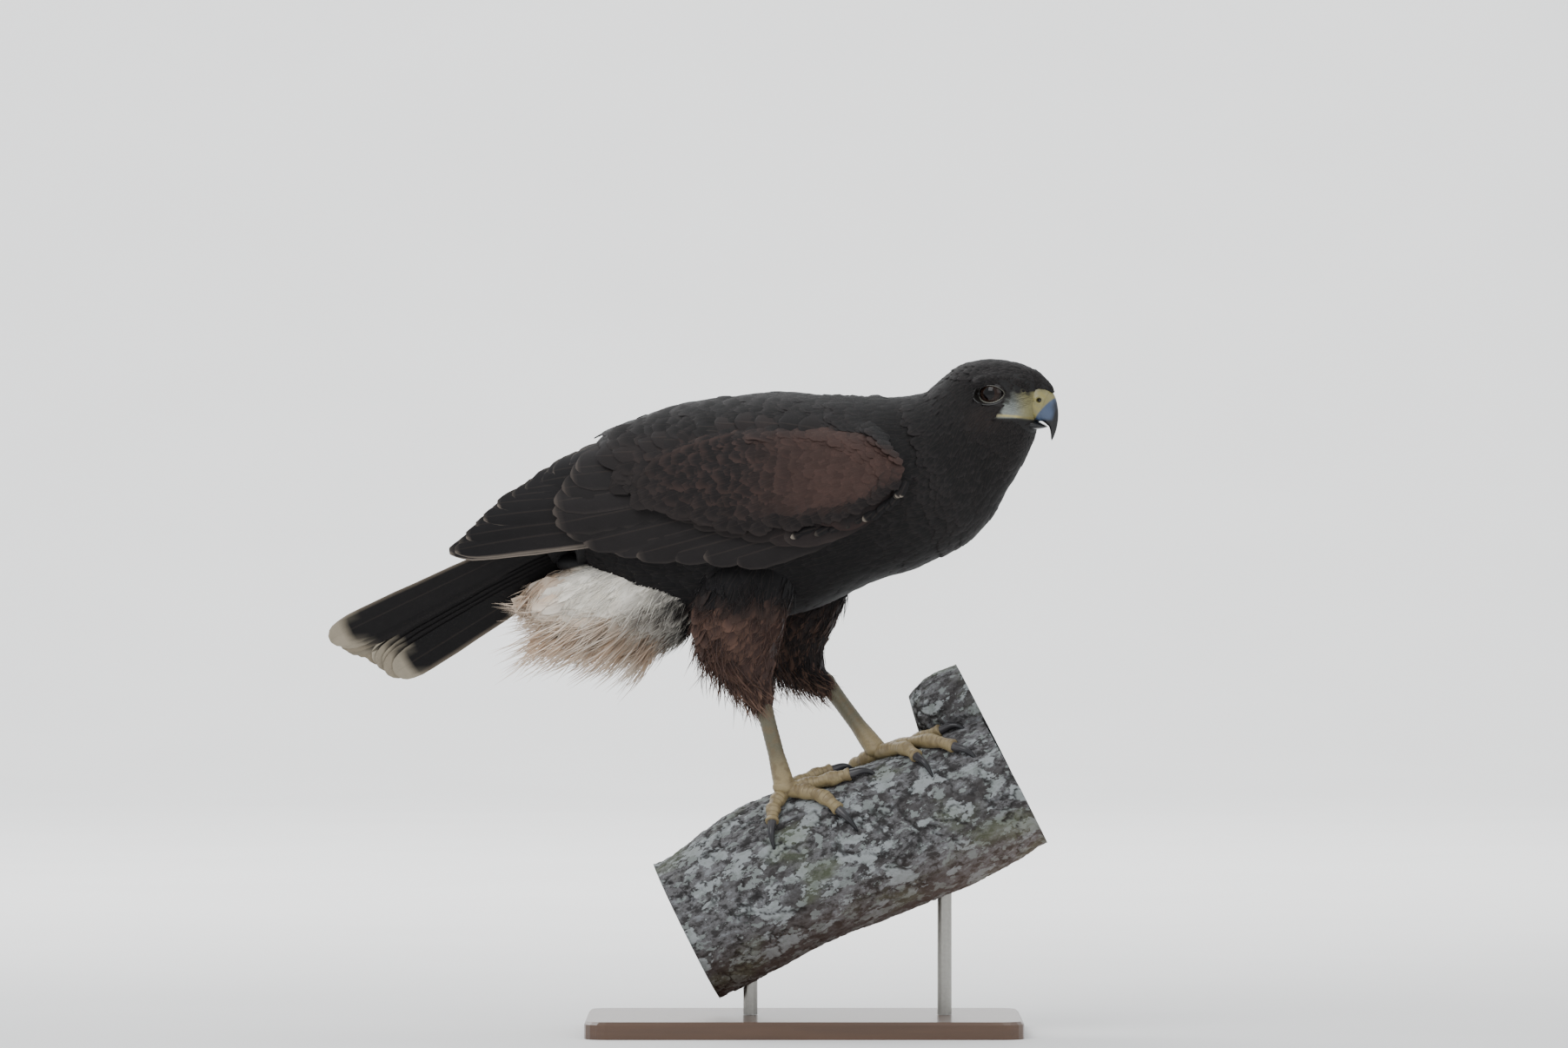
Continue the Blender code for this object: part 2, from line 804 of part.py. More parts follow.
def knob_shape(grow=0.0):
    """The broken side stub behind the far foot."""
    rows = [between(KNOB, t) for t in steps(0, len(KNOB) - 1, 10)]
    return tube([row[:3] for row in rows], [row[3] + grow for row in rows], 14)


def block(middle, size, slope=0.0):
    turn = Matrix.Rotation(-slope, 3, "Y")
    corners = []
    for x in (-0.5, 0.5):
        ring = []
        for y, z in ((-0.5, -0.5), (0.5, -0.5), (0.5, 0.5), (-0.5, 0.5)):
            ring.append(Vector(middle) + turn @ Vector((x * size[0], y * size[1], z * size[2])))
        corners.append(ring)
    return skin(corners)


def perch():
    reach = 120
    ahead = Vector((math.cos(LOG_END_SLOPE), 0, math.sin(LOG_END_SLOPE)))
    middle = Vector((LOG_END[0], 0, LOG_END[1])) + ahead * reach / 2
    saw = block(middle, (reach, 4 * reach, 4 * reach), LOG_END_SLOPE)
    return fuse("perch", [log_shape(), knob_shape()], [saw])


def rod(name, x, log_room):
    bottom = BASE_SIZE[2] + GAP
    shape = tube([(x, 0, bottom), (x, 0, 140)], [ROD_RADIUS, ROD_RADIUS], 20, up=Vector((1, 0, 0)))
    return fuse("stand_rod_" + name, [shape], log_room)


def stand_base():
    long, wide, high = BASE_SIZE
    outline = []
    for sx, sy, start in ((1, 1, 0), (-1, 1, 1), (-1, -1, 2), (1, -1, 3)):
        corner = Vector((sx * (long / 2 - BASE_CORNER), sy * (wide / 2 - BASE_CORNER)))
        for k in range(5):
            angle = math.pi / 2 * (start + k / 4)
            outline.append(corner + Vector((math.cos(angle), math.sin(angle))) * BASE_CORNER)
    levels = [(0, 0), (0, high - BASE_BEVEL), (BASE_BEVEL, high)]
    rings = []
    for inset, z in levels:
        share_x = 1 - 2 * inset / long
        share_y = 1 - 2 * inset / wide
        rings.append([Vector((BASE_CENTRE + p.x * share_x, p.y * share_y, z)) for p in outline])
    return fuse("stand_base", [skin(rings)])


def eye_ball(side, grow=0.0):
    x, y, z = EYE
    radius = EYE_RADIUS + grow
    return ball((x, side * y, z), (radius, radius, radius), *EYE_GRID)


def eye_cutter(side):
    """The oval opening between the lids, from the middle of the eye outwards."""
    x, y, z = EYE
    rings = []
    for out in (2.0, 30.0):
        ring = []
        for k in range(20):
            angle = 2 * math.pi * k / 20
            across = EYE_OPENING[0] * math.cos(angle)
            ring.append((x + across, side * (y + out), z + EYE_OPENING[1] * math.sin(angle)))
        rings.append(ring)
    return skin(rings)


def brow(side):
    path = [(202, 20.5, 446), (210, 21.2, 450.2), (220, 19.4, 451.6), (230, 15.6, 450.5), (239, 9.5, 447.5)]
    rows = [(x, side * y, z) for x, y, z in path]
    return tube(smooth_path(rows, 6), [2.2, 2.8, 3.1, 3.0, 2.8, 2.4, 1.8], 7)


def gape_path(side):
    return smooth_path([(x, side * y, z) for x, y, z in GAPE], 7)


def head():
    shapes = [body_loft(NECK_END + CUT, HEAD_END, 10)]
    forehead = ball((243, 0, 448.6), (9.5, 7, 4.4), 10, 6)
    shapes.append(on_head(forehead))
    cutters = [on_head(bill_part(BILL, 0, CERE_END + 1, GAP)), on_head(bill_part(LOWER_BILL, 0, 3, GAP))]
    for side in SIDES.values():
        shapes.append(on_head(eye_ball(side, LID_THICK + GAP)))
        shapes.append(on_head(brow(side)))
        lips = [2.0, 1.9, 1.8, 1.7, 1.6, 1.5, 1.4, 1.0]
        shapes.append(on_head(tube(gape_path(side), lips, 6)))
        cutters.append(on_head(eye_ball(side, GAP)))
        cutters.append(on_head(eye_cutter(side)))
        mouth = [Vector(p) + Vector((0, side * 1.6, 0)) for p in gape_path(side)[1:]]
        cutters.append(on_head(tube(mouth, [0.45] * len(mouth), 4)))
    return fuse("head", shapes, cutters)


def bill_part(rows, start, end, grow=0.0):
    count = max(2, round((end - start) * 2))
    rings = [section_ring(between(rows, t), BILL_SIDES, grow, 0.9) for t in steps(start, end, count)]
    return skin(rings)


def bill_nodes():
    nostrils = []
    for side in SIDES.values():
        x, y, z = NOSTRIL
        nostrils.append(on_head(ball((x, side * y, z), (1.9, 2.4, 1.2), 10, 6)))
    lower_room = on_head(bill_part(LOWER_BILL, 0, len(LOWER_BILL) - 1, GAP))
    cere = fuse("cere", [on_head(bill_part(BILL, 0, CERE_END))], nostrils + [lower_room])
    upper = fuse("bill_upper", [on_head(bill_part(BILL, CERE_END + 0.06, len(BILL) - 1))], [lower_room])
    lower = fuse("bill_lower", [on_head(bill_part(LOWER_BILL, 0, len(LOWER_BILL) - 1))])
    return [cere, upper, lower]


def paint(obj, name, colour, roughness, metallic=0.0):
    material = bpy.data.materials.get(name) or bpy.data.materials.new(name)
    material.use_nodes = True
    shader = material.node_tree.nodes["Principled BSDF"]
    shader.inputs["Base Color"].default_value = (*colour, 1)
    shader.inputs["Roughness"].default_value = roughness
    shader.inputs["Metallic"].default_value = metallic
    material.diffuse_color = (*colour, 1)
    obj.data.materials.clear()
    obj.data.materials.append(material)


FINISHES = [
    ("wing", "wing_brown", (0.055, 0.035, 0.028), 0.7),
    ("thigh", "rufous_feather", (0.11, 0.045, 0.032), 0.8),
    ("tail", "dark_feather", (0.02, 0.018, 0.018), 0.7),
    ("undertail", "pale_feather", (0.6, 0.52, 0.42), 0.8),
    ("shank", "yellow_skin", (0.42, 0.31, 0.13), 0.5),
    ("foot", "yellow_skin", (0.42, 0.31, 0.13), 0.5),
    ("cere", "yellow_skin", (0.42, 0.31, 0.13), 0.5),
    ("claw", "dark_horn", (0.02, 0.02, 0.024), 0.3),
    ("bill", "blue_horn", (0.12, 0.16, 0.24), 0.3),
    ("eye", "eye", (0.03, 0.014, 0.008), 0.08),
    ("perch", "bark", (0.24, 0.23, 0.22), 0.9),
    ("stand_base", "stand_wood", (0.09, 0.05, 0.03), 0.45),
    ("stand_rod", "stand_metal", (0.3, 0.29, 0.27), 0.35, 1.0),
    ("", "sooty_feather", (0.026, 0.022, 0.022), 0.75),
]


def finish(nodes):
    """Colours each node, stands the whole on the origin and turns millimetres into metres."""
    corners = [v.co for obj in nodes for v in obj.data.vertices]
    low = Vector(min(c[k] for c in corners) for k in range(3))
    high = Vector(max(c[k] for c in corners) for k in range(3))
    origin = Vector(((low.x + high.x) / 2, (low.y + high.y) / 2, low.z))
    place = Matrix.Scale(MM, 4) @ Matrix.Translation(-origin)
    for obj in nodes:
        obj.data.transform(place)
        look = next(row for row in FINISHES if obj.name.startswith(row[0]))
        paint(obj, *look[1:])
        obj.data.shade_smooth()
        obj.data.set_sharp_from_angle(angle=math.radians(50))


def build():
    for obj in list(bpy.data.objects):
        bpy.data.objects.remove(obj)
    guide = guide_tree()
    torso_room = body_loft(0, TORSO_END + 0.6, 16, GAP + 0.1)
    nodes = [fuse("torso", [body_loft(0, TORSO_END - CUT, 15)])]
    nodes.append(fuse("neck", [body_loft(TORSO_END + CUT, NECK_END - CUT, 6)]))
    nodes.append(head())
    nodes += bill_nodes()
    for name, side in SIDES.items():
        nodes.append(fuse("eye_" + name, [on_head(eye_ball(side))]))
        nodes.append(wing(name, guide, torso_room, tail_room(0.4)))
    nodes.append(tail(torso_room))
    nodes.append(undertail(torso_room))
    under_steps = steps(0, len(UNDERTAIL) - 1, 7)
    under_rings = [section_ring(between(UNDERTAIL, t), 14, GAP + 0.2) for t in under_steps]
    log_perch = perch()
    nodes.append(log_perch)
    log_tree = BVHTree.FromPolygons([v.co for v in log_perch.data.vertices],
                                    [tuple(p.vertices) for p in log_perch.data.polygons])
    log_room = [log_shape(GAP + 0.05), knob_shape(GAP + 0.05)]
    for name in SIDES:
        rooms = [torso_room, skin(under_rings), shank_shape(name, log_tree, GAP)]
        nodes.append(thigh(name, rooms))
        nodes += shank_and_foot(name, log_tree, log_room)
    for name, x in RODS.items():
        nodes.append(rod(name, x, log_room))
    nodes.append(stand_base())
    finish(nodes)


build()
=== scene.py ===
"""The looks of a life-size Harris hawk that grips a short cut log on a plain display stand.

Lengths are in millimetres in the bird's drawing frame: x runs towards the bill, z up from the floor, and the
bird's right side is towards -y. bare_mesh() carries them to metres in the frame's own place.
"""

import json
import math

import bpy
import numpy as np
from mathutils import Matrix, Vector, noise
from mathutils.bvhtree import BVHTree

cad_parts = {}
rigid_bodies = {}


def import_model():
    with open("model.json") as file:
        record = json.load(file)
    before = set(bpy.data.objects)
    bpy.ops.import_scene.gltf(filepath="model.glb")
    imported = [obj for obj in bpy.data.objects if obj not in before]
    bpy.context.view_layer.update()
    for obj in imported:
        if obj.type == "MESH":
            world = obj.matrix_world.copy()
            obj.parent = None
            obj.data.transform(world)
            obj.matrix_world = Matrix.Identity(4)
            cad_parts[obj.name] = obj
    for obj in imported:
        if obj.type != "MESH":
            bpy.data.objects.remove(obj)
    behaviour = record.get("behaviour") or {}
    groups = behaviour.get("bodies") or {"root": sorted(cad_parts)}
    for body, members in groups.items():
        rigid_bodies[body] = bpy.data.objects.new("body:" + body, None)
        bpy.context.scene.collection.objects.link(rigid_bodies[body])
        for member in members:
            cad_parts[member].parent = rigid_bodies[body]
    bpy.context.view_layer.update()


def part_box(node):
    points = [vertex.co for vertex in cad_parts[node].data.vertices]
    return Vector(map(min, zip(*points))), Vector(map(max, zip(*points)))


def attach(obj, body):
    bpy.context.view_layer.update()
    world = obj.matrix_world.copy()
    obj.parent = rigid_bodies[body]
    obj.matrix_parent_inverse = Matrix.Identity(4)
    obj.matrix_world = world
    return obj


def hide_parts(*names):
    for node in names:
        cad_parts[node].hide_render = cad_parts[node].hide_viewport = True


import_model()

MM = 0.001
SIDES = {"right": -1, "left": 1}
BASE_CENTRE = 75
base_low, base_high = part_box("stand_base")
base_middle = (base_low + base_high) / 2
SHIFT = np.array([base_middle.x - BASE_CENTRE * MM, base_middle.y, base_low.z])

# Body sections from the rump to the face: x and height of the top, x and height of the bottom, half width.
BODY = [
    (-92, 361, -80, 332, 14),
    (-66, 390, -57, 310, 29),
    (-36, 411, -26, 291, 41),
    (-3, 427, 9, 285, 50),
    (30, 435, 48, 286, 55),
    (66, 439, 89, 296, 57),
    (99, 437, 126, 312, 55),
    (126, 438, 161, 324, 50),
    (147, 440, 189, 340, 43.5),
    (161, 444, 206, 358, 36),
    (170, 451, 217, 376, 31),
    (179, 457, 228.5, 394, 27.5),
    (189, 461.5, 234.4, 406, 25),
    (201, 463.5, 236.4, 413, 23.5),
    (213, 463.8, 237.1, 416.5, 22),
    (226.5, 461.5, 237.7, 418.2, 19.5),
    (237, 457, 238.2, 419.3, 15),
    (243.5, 452, 238.8, 420.5, 8.8),
]
TORSO_END = 8
NECK_END = 11
HEAD_END = 17
HEAD_TURN = math.radians(25)
HEAD_SQUARE = 0.82
BROW = [(202, 20.5, 446), (210, 21.2, 450.2), (220, 19.4, 451.6), (230, 15.6, 450.5), (239, 9.5, 447.5)]
BROW_RISE = 2.3
LORES_HOLLOW = 1.6
CHEEK_RISE = 0.9
SOCKET_FLOOR = 13.5

# The surface that the folded wings lie on, in sections like the body's.
WING_GUIDE = [
    (-250, 326, -232, 270, 20),
    (-190, 362, -170, 290, 27),
    (-125, 393, -106, 300, 34),
    (-66, 413, -50, 292, 44),
    (-36, 424, -20, 286, 53),
    (-3, 434, 12, 280, 60),
    (30, 438.5, 48, 280, 65),
    (66, 441, 89, 290, 66.5),
    (99, 439, 126, 306, 64.5),
    (126, 440, 161, 320, 59),
    (147, 442, 189, 338, 50),
    (161, 445, 206, 356, 40),
]
WING_OUTLINE = [
    (147, 384), (141.6, 369), (130, 358), (108, 350), (72, 340), (30, 335), (-6, 338), (-32, 348),
    (-42, 368), (-34, 391), (-4, 407), (42, 417), (96, 417), (126, 409), (142, 398),
]
WING_DEPTH = 24

EYE = np.array((213.2, 12.6, 440.6))
EYE_RADIUS = 10.4
EYE_OPENING = (9.1, 5.9)
# From the lid's edge on the ball out to the face and back behind it: share of the opening, and height.
LID_PROFILE = [
    (1.0, 0.1), (1.01, 0.5), (1.03, 0.75), (1.06, 0.8), (1.09, 0.6), (1.13, 0.4),
    (1.2, 0.2), (1.3, 0.0), (1.4, -0.6), (1.36, -1.8), (1.15, -1.3),
]

BILL = [
    (237, 446.5, 234.0, 425.5, 9.4),
    (242.5, 447.8, 236.8, 424.5, 9.0),
    (248.6, 444.6, 241.4, 422.3, 7.8),
    (252.8, 438.6, 245.0, 420.6, 6.2),
    (254.9, 431, 247.0, 419, 4.7),
    (255.3, 424, 248.6, 417.4, 3.3),
    (254.3, 417, 249.6, 413.5, 2.0),
    (252.2, 411, 249.8, 409.8, 1.0),
    (250.6, 408.2, 250.2, 407.9, 0.5),
]
CERE_END = 2.35
LOWER_BILL = [
    (232, 423.3, 232, 415.5, 7.6),
    (237, 423.3, 237.5, 415.8, 7.2),
    (241.5, 421.2, 241.8, 416.2, 5.8),
    (245, 419.6, 245, 416.8, 3.8),
    (247.2, 418.1, 247, 417.4, 1.6),
]
NOSTRIL = np.array((244.2, 7.6, 436.0))
GAPE = [(239.5, 7.9, 423.6), (230, 14.5, 425.0), (218, 18.6, 425.2), (207, 20.6, 423.0)]

TAIL_ROOT = np.array((-56.0, 0, 355))
TAIL_SLOPE = math.radians(30.6)
TAIL_ROLL = math.radians(60)
TAIL_ROLL_LENGTH = 75
TAIL_LENGTH = 197
TAIL_SKEW = 0.55
TAIL_ARCH = 0.0012
RECTRIX_STEP = 4.3
RECTRIX_HALF_WIDTH = 12.5

UNDERTAIL = [
    (-8, 335, 2, 284, 27),
    (-40, 330, -25, 274, 29),
    (-70, 326, -52, 275, 25),
    (-94, 320, -80, 284, 18),
    (-108, 312, -99, 296, 9),
]
# The dark rump that fills the corner between tail and undertail.
RUMP = (-84.0, 0.0, 324.0)
RUMP_RADII = (12, 12, 7)
# Each thigh's sections from the top down: x, height, half length, half width and distance off the middle.
THIGHS = {
    "right": [
        (42, 350, 24, 14, 31),
        (40, 332, 28, 15, 31),
        (38, 308, 31, 17, 33),
        (34, 288, 29.5, 17, 33),
        (32.5, 268, 25, 15, 31),
        (38, 251, 16, 11, 29),
        (45, 238, 9, 8.2, 27),
        (47, 229, 6.4, 6.4, 26),
    ],
    "left": [
        (82, 350, 24, 14, 31),
        (80, 330, 28, 15, 31),
        (76, 308, 30, 17, 33),
        (72, 288, 27, 17, 33),
        (68, 268, 22, 14.5, 31),
        (75, 253, 15, 11, 29),
        (86, 244, 9.5, 8.2, 27),
        (91.5, 239, 7, 6.6, 26),
    ],
}
LEGS = {
    "right": {
        "top": (46.6, -26, 228.6),
        "pad": (64, -22),
        "toes": {
            "middle": [(64, -22), (80, -24), (96, -27), (108, -29)],
            "outer": [(64, -22), (78, -31), (90, -40), (99, -46.5)],
            "inner": [(64, -22), (74, -16), (85, -10), (95, -6)],
            "rear": [(64, -22), (58, -28), (55, -34), (54, -41)],
        },
    },
    "left": {
        "top": (92.5, 26, 238.4),
        "pad": (127, 8),
        "toes": {
            "middle": [(127, 8), (145, -7), (163, -22), (179, -34)],
            "outer": [(127, 8), (142, 5), (158, -1), (171, -7)],
            "inner": [(127, 8), (137, -7), (146, -21), (153, -32)],
            "rear": [(127, 8), (118, 13), (112, 19), (106, 26)],
        },
    },
}
TOE_RADII = (5.4, 4.4, 4.2, 3.7)
TOE_SINK = 0.8
CLAW_LENGTH = 24.2
CLAW_RADIUS = 3.3
CLAW_STEPS = 42
CLAW_RISE = math.radians(14)
CLAW_CURVE = math.radians(90)
PAD_HEIGHT = 7.5

LOG = [
    (-6, 69.5, 51.5), (12, 78.6, 52.5), (60, 106.2, 56),
    (120, 131.4, 53.5), (180, 155, 51), (232, 182, 50),
]
KNOB = [
    (250, 14, 214, 45),
    (232, 16, 220, 42),
    (205, 20, 226, 35),
    (178, 22, 226, 27),
    (158, 22, 221, 19),
    (151, 22, 219, 13),
]
LOG_END = (220, 176)
LOG_END_SLOPE = math.radians(27)


def srgb(*levels):
    """A colour from 0 to 255 levels as the linear values that shaders take."""
    return tuple((v / 255 / 12.92) if v < 10.3 else ((v / 255 + 0.055) / 1.055) ** 2.4 for v in levels)


SOOT = srgb(18, 17, 17)
SOOT_EDGE = srgb(32, 29, 29)
# BELLY and BELLY_EDGE: the same dark brown plumage painted darker, as painted shade of the underside.
BELLY = srgb(8, 7, 8)
BELLY_EDGE = srgb(16, 14, 15)
CROWN = srgb(17, 16, 16)
WING_BROWN = srgb(30, 27, 27)
WING_EDGE = srgb(56, 50, 47)
RUFOUS = srgb(63, 46, 41)
RUFOUS_DARK = srgb(42, 32, 30)
TAIL_DARK = srgb(11, 10, 11)
# The tail's pale end band: its white painted darker, as painted shade.
TAIL_BAND_SHADED = srgb(150, 142, 126)
CREAM = srgb(232, 227, 216)
BUFF = srgb(186, 148, 112)
BLOTCH = srgb(62, 55, 51)
THIGH_RUFOUS = srgb(58, 42, 37)
# The left thigh, on the far side, is the same rufous painted darker: painted shade.
THIGH_RUFOUS_SHADED = srgb(24, 20, 20)
CHEEK = srgb(36, 29, 27)
BILL_BLUE = srgb(66, 80, 104)
LORES = srgb(126, 132, 128)
CERE_YELLOW = srgb(124, 118, 78)
LEG_YELLOW = srgb(134, 119, 86)
LEG_OLIVE = srgb(86, 81, 62)


def mix(a, b, share):
    """Colours a and b mixed, each row of share giving one mixed colour."""
    share = np.asarray(share, float)[..., None]
    return np.asarray(a, float) * (1 - share) + np.asarray(b, float) * share


def ease(t):
    t = np.clip(t, 0, 1)
    return t * t * (3 - 2 * t)


def curve(rows, t):
    """A smooth curve through the rows, read at t counted in rows."""
    rows = np.asarray(rows, float)
    t = np.clip(np.asarray(t, float), 0, len(rows) - 1)
    i = np.minimum(t.astype(int), len(rows) - 2)
    f = (t - i)[..., None]
    p, q, r = rows[np.maximum(i - 1, 0)], rows[i], rows[i + 1]
    s = rows[np.minimum(i + 2, len(rows) - 1)]
    bend = (2 * p - 5 * q + 4 * r - s) * f * f + (3 * q - p - 3 * r + s) * f**3
    return 0.5 * (2 * q + (r - p) * f + bend)


def unit(vectors):
    return vectors / np.maximum(np.linalg.norm(vectors, axis=-1, keepdims=True), 1e-9)


def sections(rows, sides, grow=0.0, square=1.0):
    """Rings round section rows of top, bottom and half width. square can differ from ring to ring."""
    rows = np.asarray(rows, float)
    angle = np.linspace(0, 2 * np.pi, sides, endpoint=False)
    zero = np.zeros(len(rows))
    top = np.stack([rows[:, 0], zero, rows[:, 1]], 1)
    low = np.stack([rows[:, 2], zero, rows[:, 3]], 1)
    reach = np.linalg.norm(top - low, axis=1) / 2 + grow
    up = unit(top - low)
    sine = np.sin(angle)[None, :]
    across = np.sign(sine) * np.abs(sine) ** np.broadcast_to(square, (len(rows),))[:, None]
    rings = ((top + low) / 2)[:, None, :] + up[:, None, :] * (reach[:, None] * np.cos(angle))[..., None]
    rings[..., 1] += (rows[:, 4] + grow)[:, None] * across
    return rings


def turned(t):
    """The matrix that carries the body section at t to its place on the turned neck."""
    place = Matrix.Identity(4)
    count = 24
    if t <= TORSO_END:
        return place
    end = min(t, NECK_END)
    for u in np.linspace(TORSO_END, end, count + 1)[1:]:
        part = -HEAD_TURN / count * (end - TORSO_END) / (NECK_END - TORSO_END)
        row = curve(BODY, u)
        pivot = Vector(((row[0] + row[2]) / 2, 0, (row[1] + row[3]) / 2))
        place = place @ Matrix.Translation(pivot) @ Matrix.Rotation(part, 4, "Z") @ Matrix.Translation(-pivot)
    return place


HEAD_PLACE = np.array(turned(NECK_END))


def on_head(points):
    """Points drawn on the straight head, carried to the turned head."""
    points = np.asarray(points, float)
    return points @ HEAD_PLACE[:3, :3].T + HEAD_PLACE[:3, 3]


def off_head(points):
    return (np.asarray(points, float) - HEAD_PLACE[:3, 3]) @ HEAD_PLACE[:3, :3]


def curve_through(rows, count):
    """The whole curve through the rows, at count even steps."""
    return curve(rows, np.linspace(0, len(rows) - 1, count))


def axes(points):
    """x, y and z of points, each as an array."""
    return points[..., 0], points[..., 1], points[..., 2]


def bump_along(points, path, wide):
    """How near each point lies to a path seen from the side, from 0 to 1."""
    dense = curve_through(path, 70)
    gap = np.min(np.hypot(points[..., None, 0] - dense[:, 0], points[..., None, 2] - dense[:, 2]), axis=-1)
    return np.exp(-((gap / wide) ** 2))


def dome(points, middle, widths):
    """A soft round patch seen from the side: 1 in its middle, falling to 0."""
    off = np.hypot((points[..., 0] - middle[0]) / widths[0], (points[..., 2] - middle[1]) / widths[1])
    return np.exp(-(off**2))


def eye_distance(points):
    """Distance from the eye's middle, in widths of its opening, seen from the side of the straight head."""
    return np.hypot((points[..., 0] - EYE[0]) / EYE_OPENING[0], (points[..., 2] - EYE[2]) / EYE_OPENING[1])


def shape_face(points, t, socket_depth=0.0):
    """Brow, lores and cheek on the straight head's rings, and the eye sockets where they are asked for."""
    y = points[..., 1]
    flank = ease((np.abs(y) - 5) / 6)
    side = flank * ease((t - NECK_END - 0.5) / 1.5)[:, None]
    pressed = flank * ease((t - NECK_END + 0.4) / 0.5)[:, None]
    out = BROW_RISE * bump_along(points, BROW, 3.4)
    out -= LORES_HOLLOW * dome(points, (228, 436), (9, 8))
    out += CHEEK_RISE * dome(points, (212, 424), (13, 7))
    socket = socket_depth * (1 - ease((eye_distance(points) - 1.1) / 0.2))
    reach = np.abs(y) + out * side
    depth = np.minimum(reach, SOCKET_FLOOR)
    points[..., 1] = np.sign(y) * (reach * (1 - socket * pressed) + depth * socket * pressed)
    return points


def body_straight(t, sides, grow=0.0, socket_depth=0.0):
    """The body's rings before the head is turned."""
    square = 1 - (1 - HEAD_SQUARE) * ease((t - NECK_END + 1) / 3)
    return shape_face(sections(curve(BODY, t), sides, grow, square), t, socket_depth)


def body_rings(t, sides, grow=0.0, socket_depth=0.0):
    """The body's rings with the head turned towards the camera."""
    rings = body_straight(t, sides, grow, socket_depth)
    for k, value in enumerate(t):
        place = np.array(turned(value))
        rings[k] = rings[k] @ place[:3, :3].T + place[:3, 3]
    return rings


def tube_rings(path, radii, sides, up=(0, 0, 1)):
    path = np.asarray(path, float)
    ahead = unit(np.gradient(path, axis=0))
    side = unit(np.cross(ahead, np.asarray(up, float)))
    lift = np.cross(side, ahead)
    angle = np.linspace(0, 2 * np.pi, sides, endpoint=False)
    radii = np.broadcast_to(np.asarray(radii, float), (len(path),))
    ring = side[:, None, :] * np.cos(angle)[None, :, None] + lift[:, None, :] * np.sin(angle)[None, :, None]
    return path[:, None, :] + ring * radii[:, None, None]


def grid_faces(rows, columns, wrap=True):
    """Quads over a grid of points, as an array of corners."""
    r, c = np.meshgrid(np.arange(rows - 1), np.arange(columns if wrap else columns - 1), indexing="ij")
    n = (c + 1) % columns
    here, after = r * columns, (r + 1) * columns
    return np.stack([here + c, here + n, after + n, after + c], -1).reshape(-1, 4)


def closed_tube(rings):
    """Points and faces of rings closed by a fan at each end, facing out."""
    rows, columns = rings.shape[:2]
    points = np.concatenate([rings.reshape(-1, 3), rings[:1].mean(1), rings[-1:].mean(1)])
    first = np.arange(columns)
    after = (first + 1) % columns
    start = np.stack([after, first, np.full(columns, rows * columns)], 1)
    last = (rows - 1) * columns
    end = np.stack([last + first, last + after, np.full(columns, rows * columns + 1)], 1)
    return points, [grid_faces(rows, columns), np.concatenate([start, end])]


def joined(shapes):
    """Several shapes as one: points and faces."""
    points, faces, count = [], [], 0
    for shape_points, shape_faces in shapes:
        points.append(shape_points)
        faces += [part + count for part in shape_faces]
        count += len(shape_points)
    return np.concatenate(points), faces


def facing_out(points, faces):
    """The faces, turned round where the whole shape is inside out."""
    volume = 0.0
    middle = points.mean(0)
    for part in faces:
        a = points[part[:, 0]] - middle
        for k in range(1, part.shape[1] - 1):
            b = points[part[:, k]] - middle
            volume += np.einsum("ij,ij->i", a, np.cross(b, points[part[:, k + 1]] - middle)).sum()
    return [part[:, ::-1] for part in faces] if volume < 0 else faces


def outward(rings):
    """Rings closed at both ends, as points and faces that face out."""
    points, faces = closed_tube(rings)
    return points, facing_out(points, faces)


def ray_tree(points, faces):
    """A tree for casting rays at a shape."""
    polygons = [tuple(face) for part in faces for face in part.tolist()]
    return BVHTree.FromPolygons([tuple(p) for p in points], polygons)


def tint_mesh(mesh, colours):
    """Stores a colour for each point of a mesh."""
    layer = mesh.color_attributes.get("tint") or mesh.color_attributes.new("tint", "FLOAT_COLOR", "POINT")
    full = np.concatenate([colours, np.ones((len(colours), 1))], 1)
    layer.data.foreach_set("color", full.astype(np.float32).ravel())


def bare_mesh(name, points, faces, maps=None, tint=None, values=None):
    """A mesh in metres. Each point has its place on the maps, its tint and its values."""
    mesh = bpy.data.meshes.new(name)
    points = np.asarray(points, float) * MM + SHIFT
    corners = np.concatenate([part.ravel() for part in faces]).astype(np.int32)
    sizes = np.concatenate([np.full(len(part), part.shape[1]) for part in faces])
    starts = np.concatenate([[0], np.cumsum(sizes)[:-1]]).astype(np.int32)
    mesh.vertices.add(len(points))
    mesh.vertices.foreach_set("co", points.astype(np.float32).ravel())
    mesh.loops.add(len(corners))
    mesh.loops.foreach_set("vertex_index", corners)
    mesh.polygons.add(len(sizes))
    mesh.polygons.foreach_set("loop_start", starts)
    mesh.update(calc_edges=True)
    for map_name, places in (maps or {}).items():
        layer = mesh.uv_layers.new(name=map_name)
        layer.data.foreach_set("uv", places[corners].astype(np.float32).ravel())
    if tint is not None:
        tint_mesh(mesh, tint)
    for value_name, numbers in (values or {}).items():
        numbers = np.asarray(numbers, np.float32)
        kind = "FLOAT" if numbers.ndim == 1 else "FLOAT_VECTOR"
        layer = mesh.attributes.new(value_name, kind, "POINT")
        layer.data.foreach_set("value" if kind == "FLOAT" else "vector", numbers.ravel())
    mesh.shade_smooth()
    return mesh


def add_object(name, mesh):
    obj = bpy.data.objects.new(name, mesh)
    bpy.context.scene.collection.objects.link(obj)
    return obj


def plain_mesh(obj):
    """Turns what the object's modifiers make into its own plain mesh."""
    bpy.context.view_layer.update()
    graph = bpy.context.evaluated_depsgraph_get()
    made = obj.evaluated_get(graph)
    mesh = bpy.data.meshes.new_from_object(made, preserve_all_data_layers=True, depsgraph=graph)
    obj.modifiers.clear()
    obj.data = mesh
    return obj


def finish_piece(obj, material, replaced=()):
    """Gives a piece its material and body, and hides the solids that it stands for."""
    obj.data.materials.clear()
    obj.data.materials.append(material)
    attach(obj, "root")
    if replaced:
        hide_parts(*replaced)
    return obj


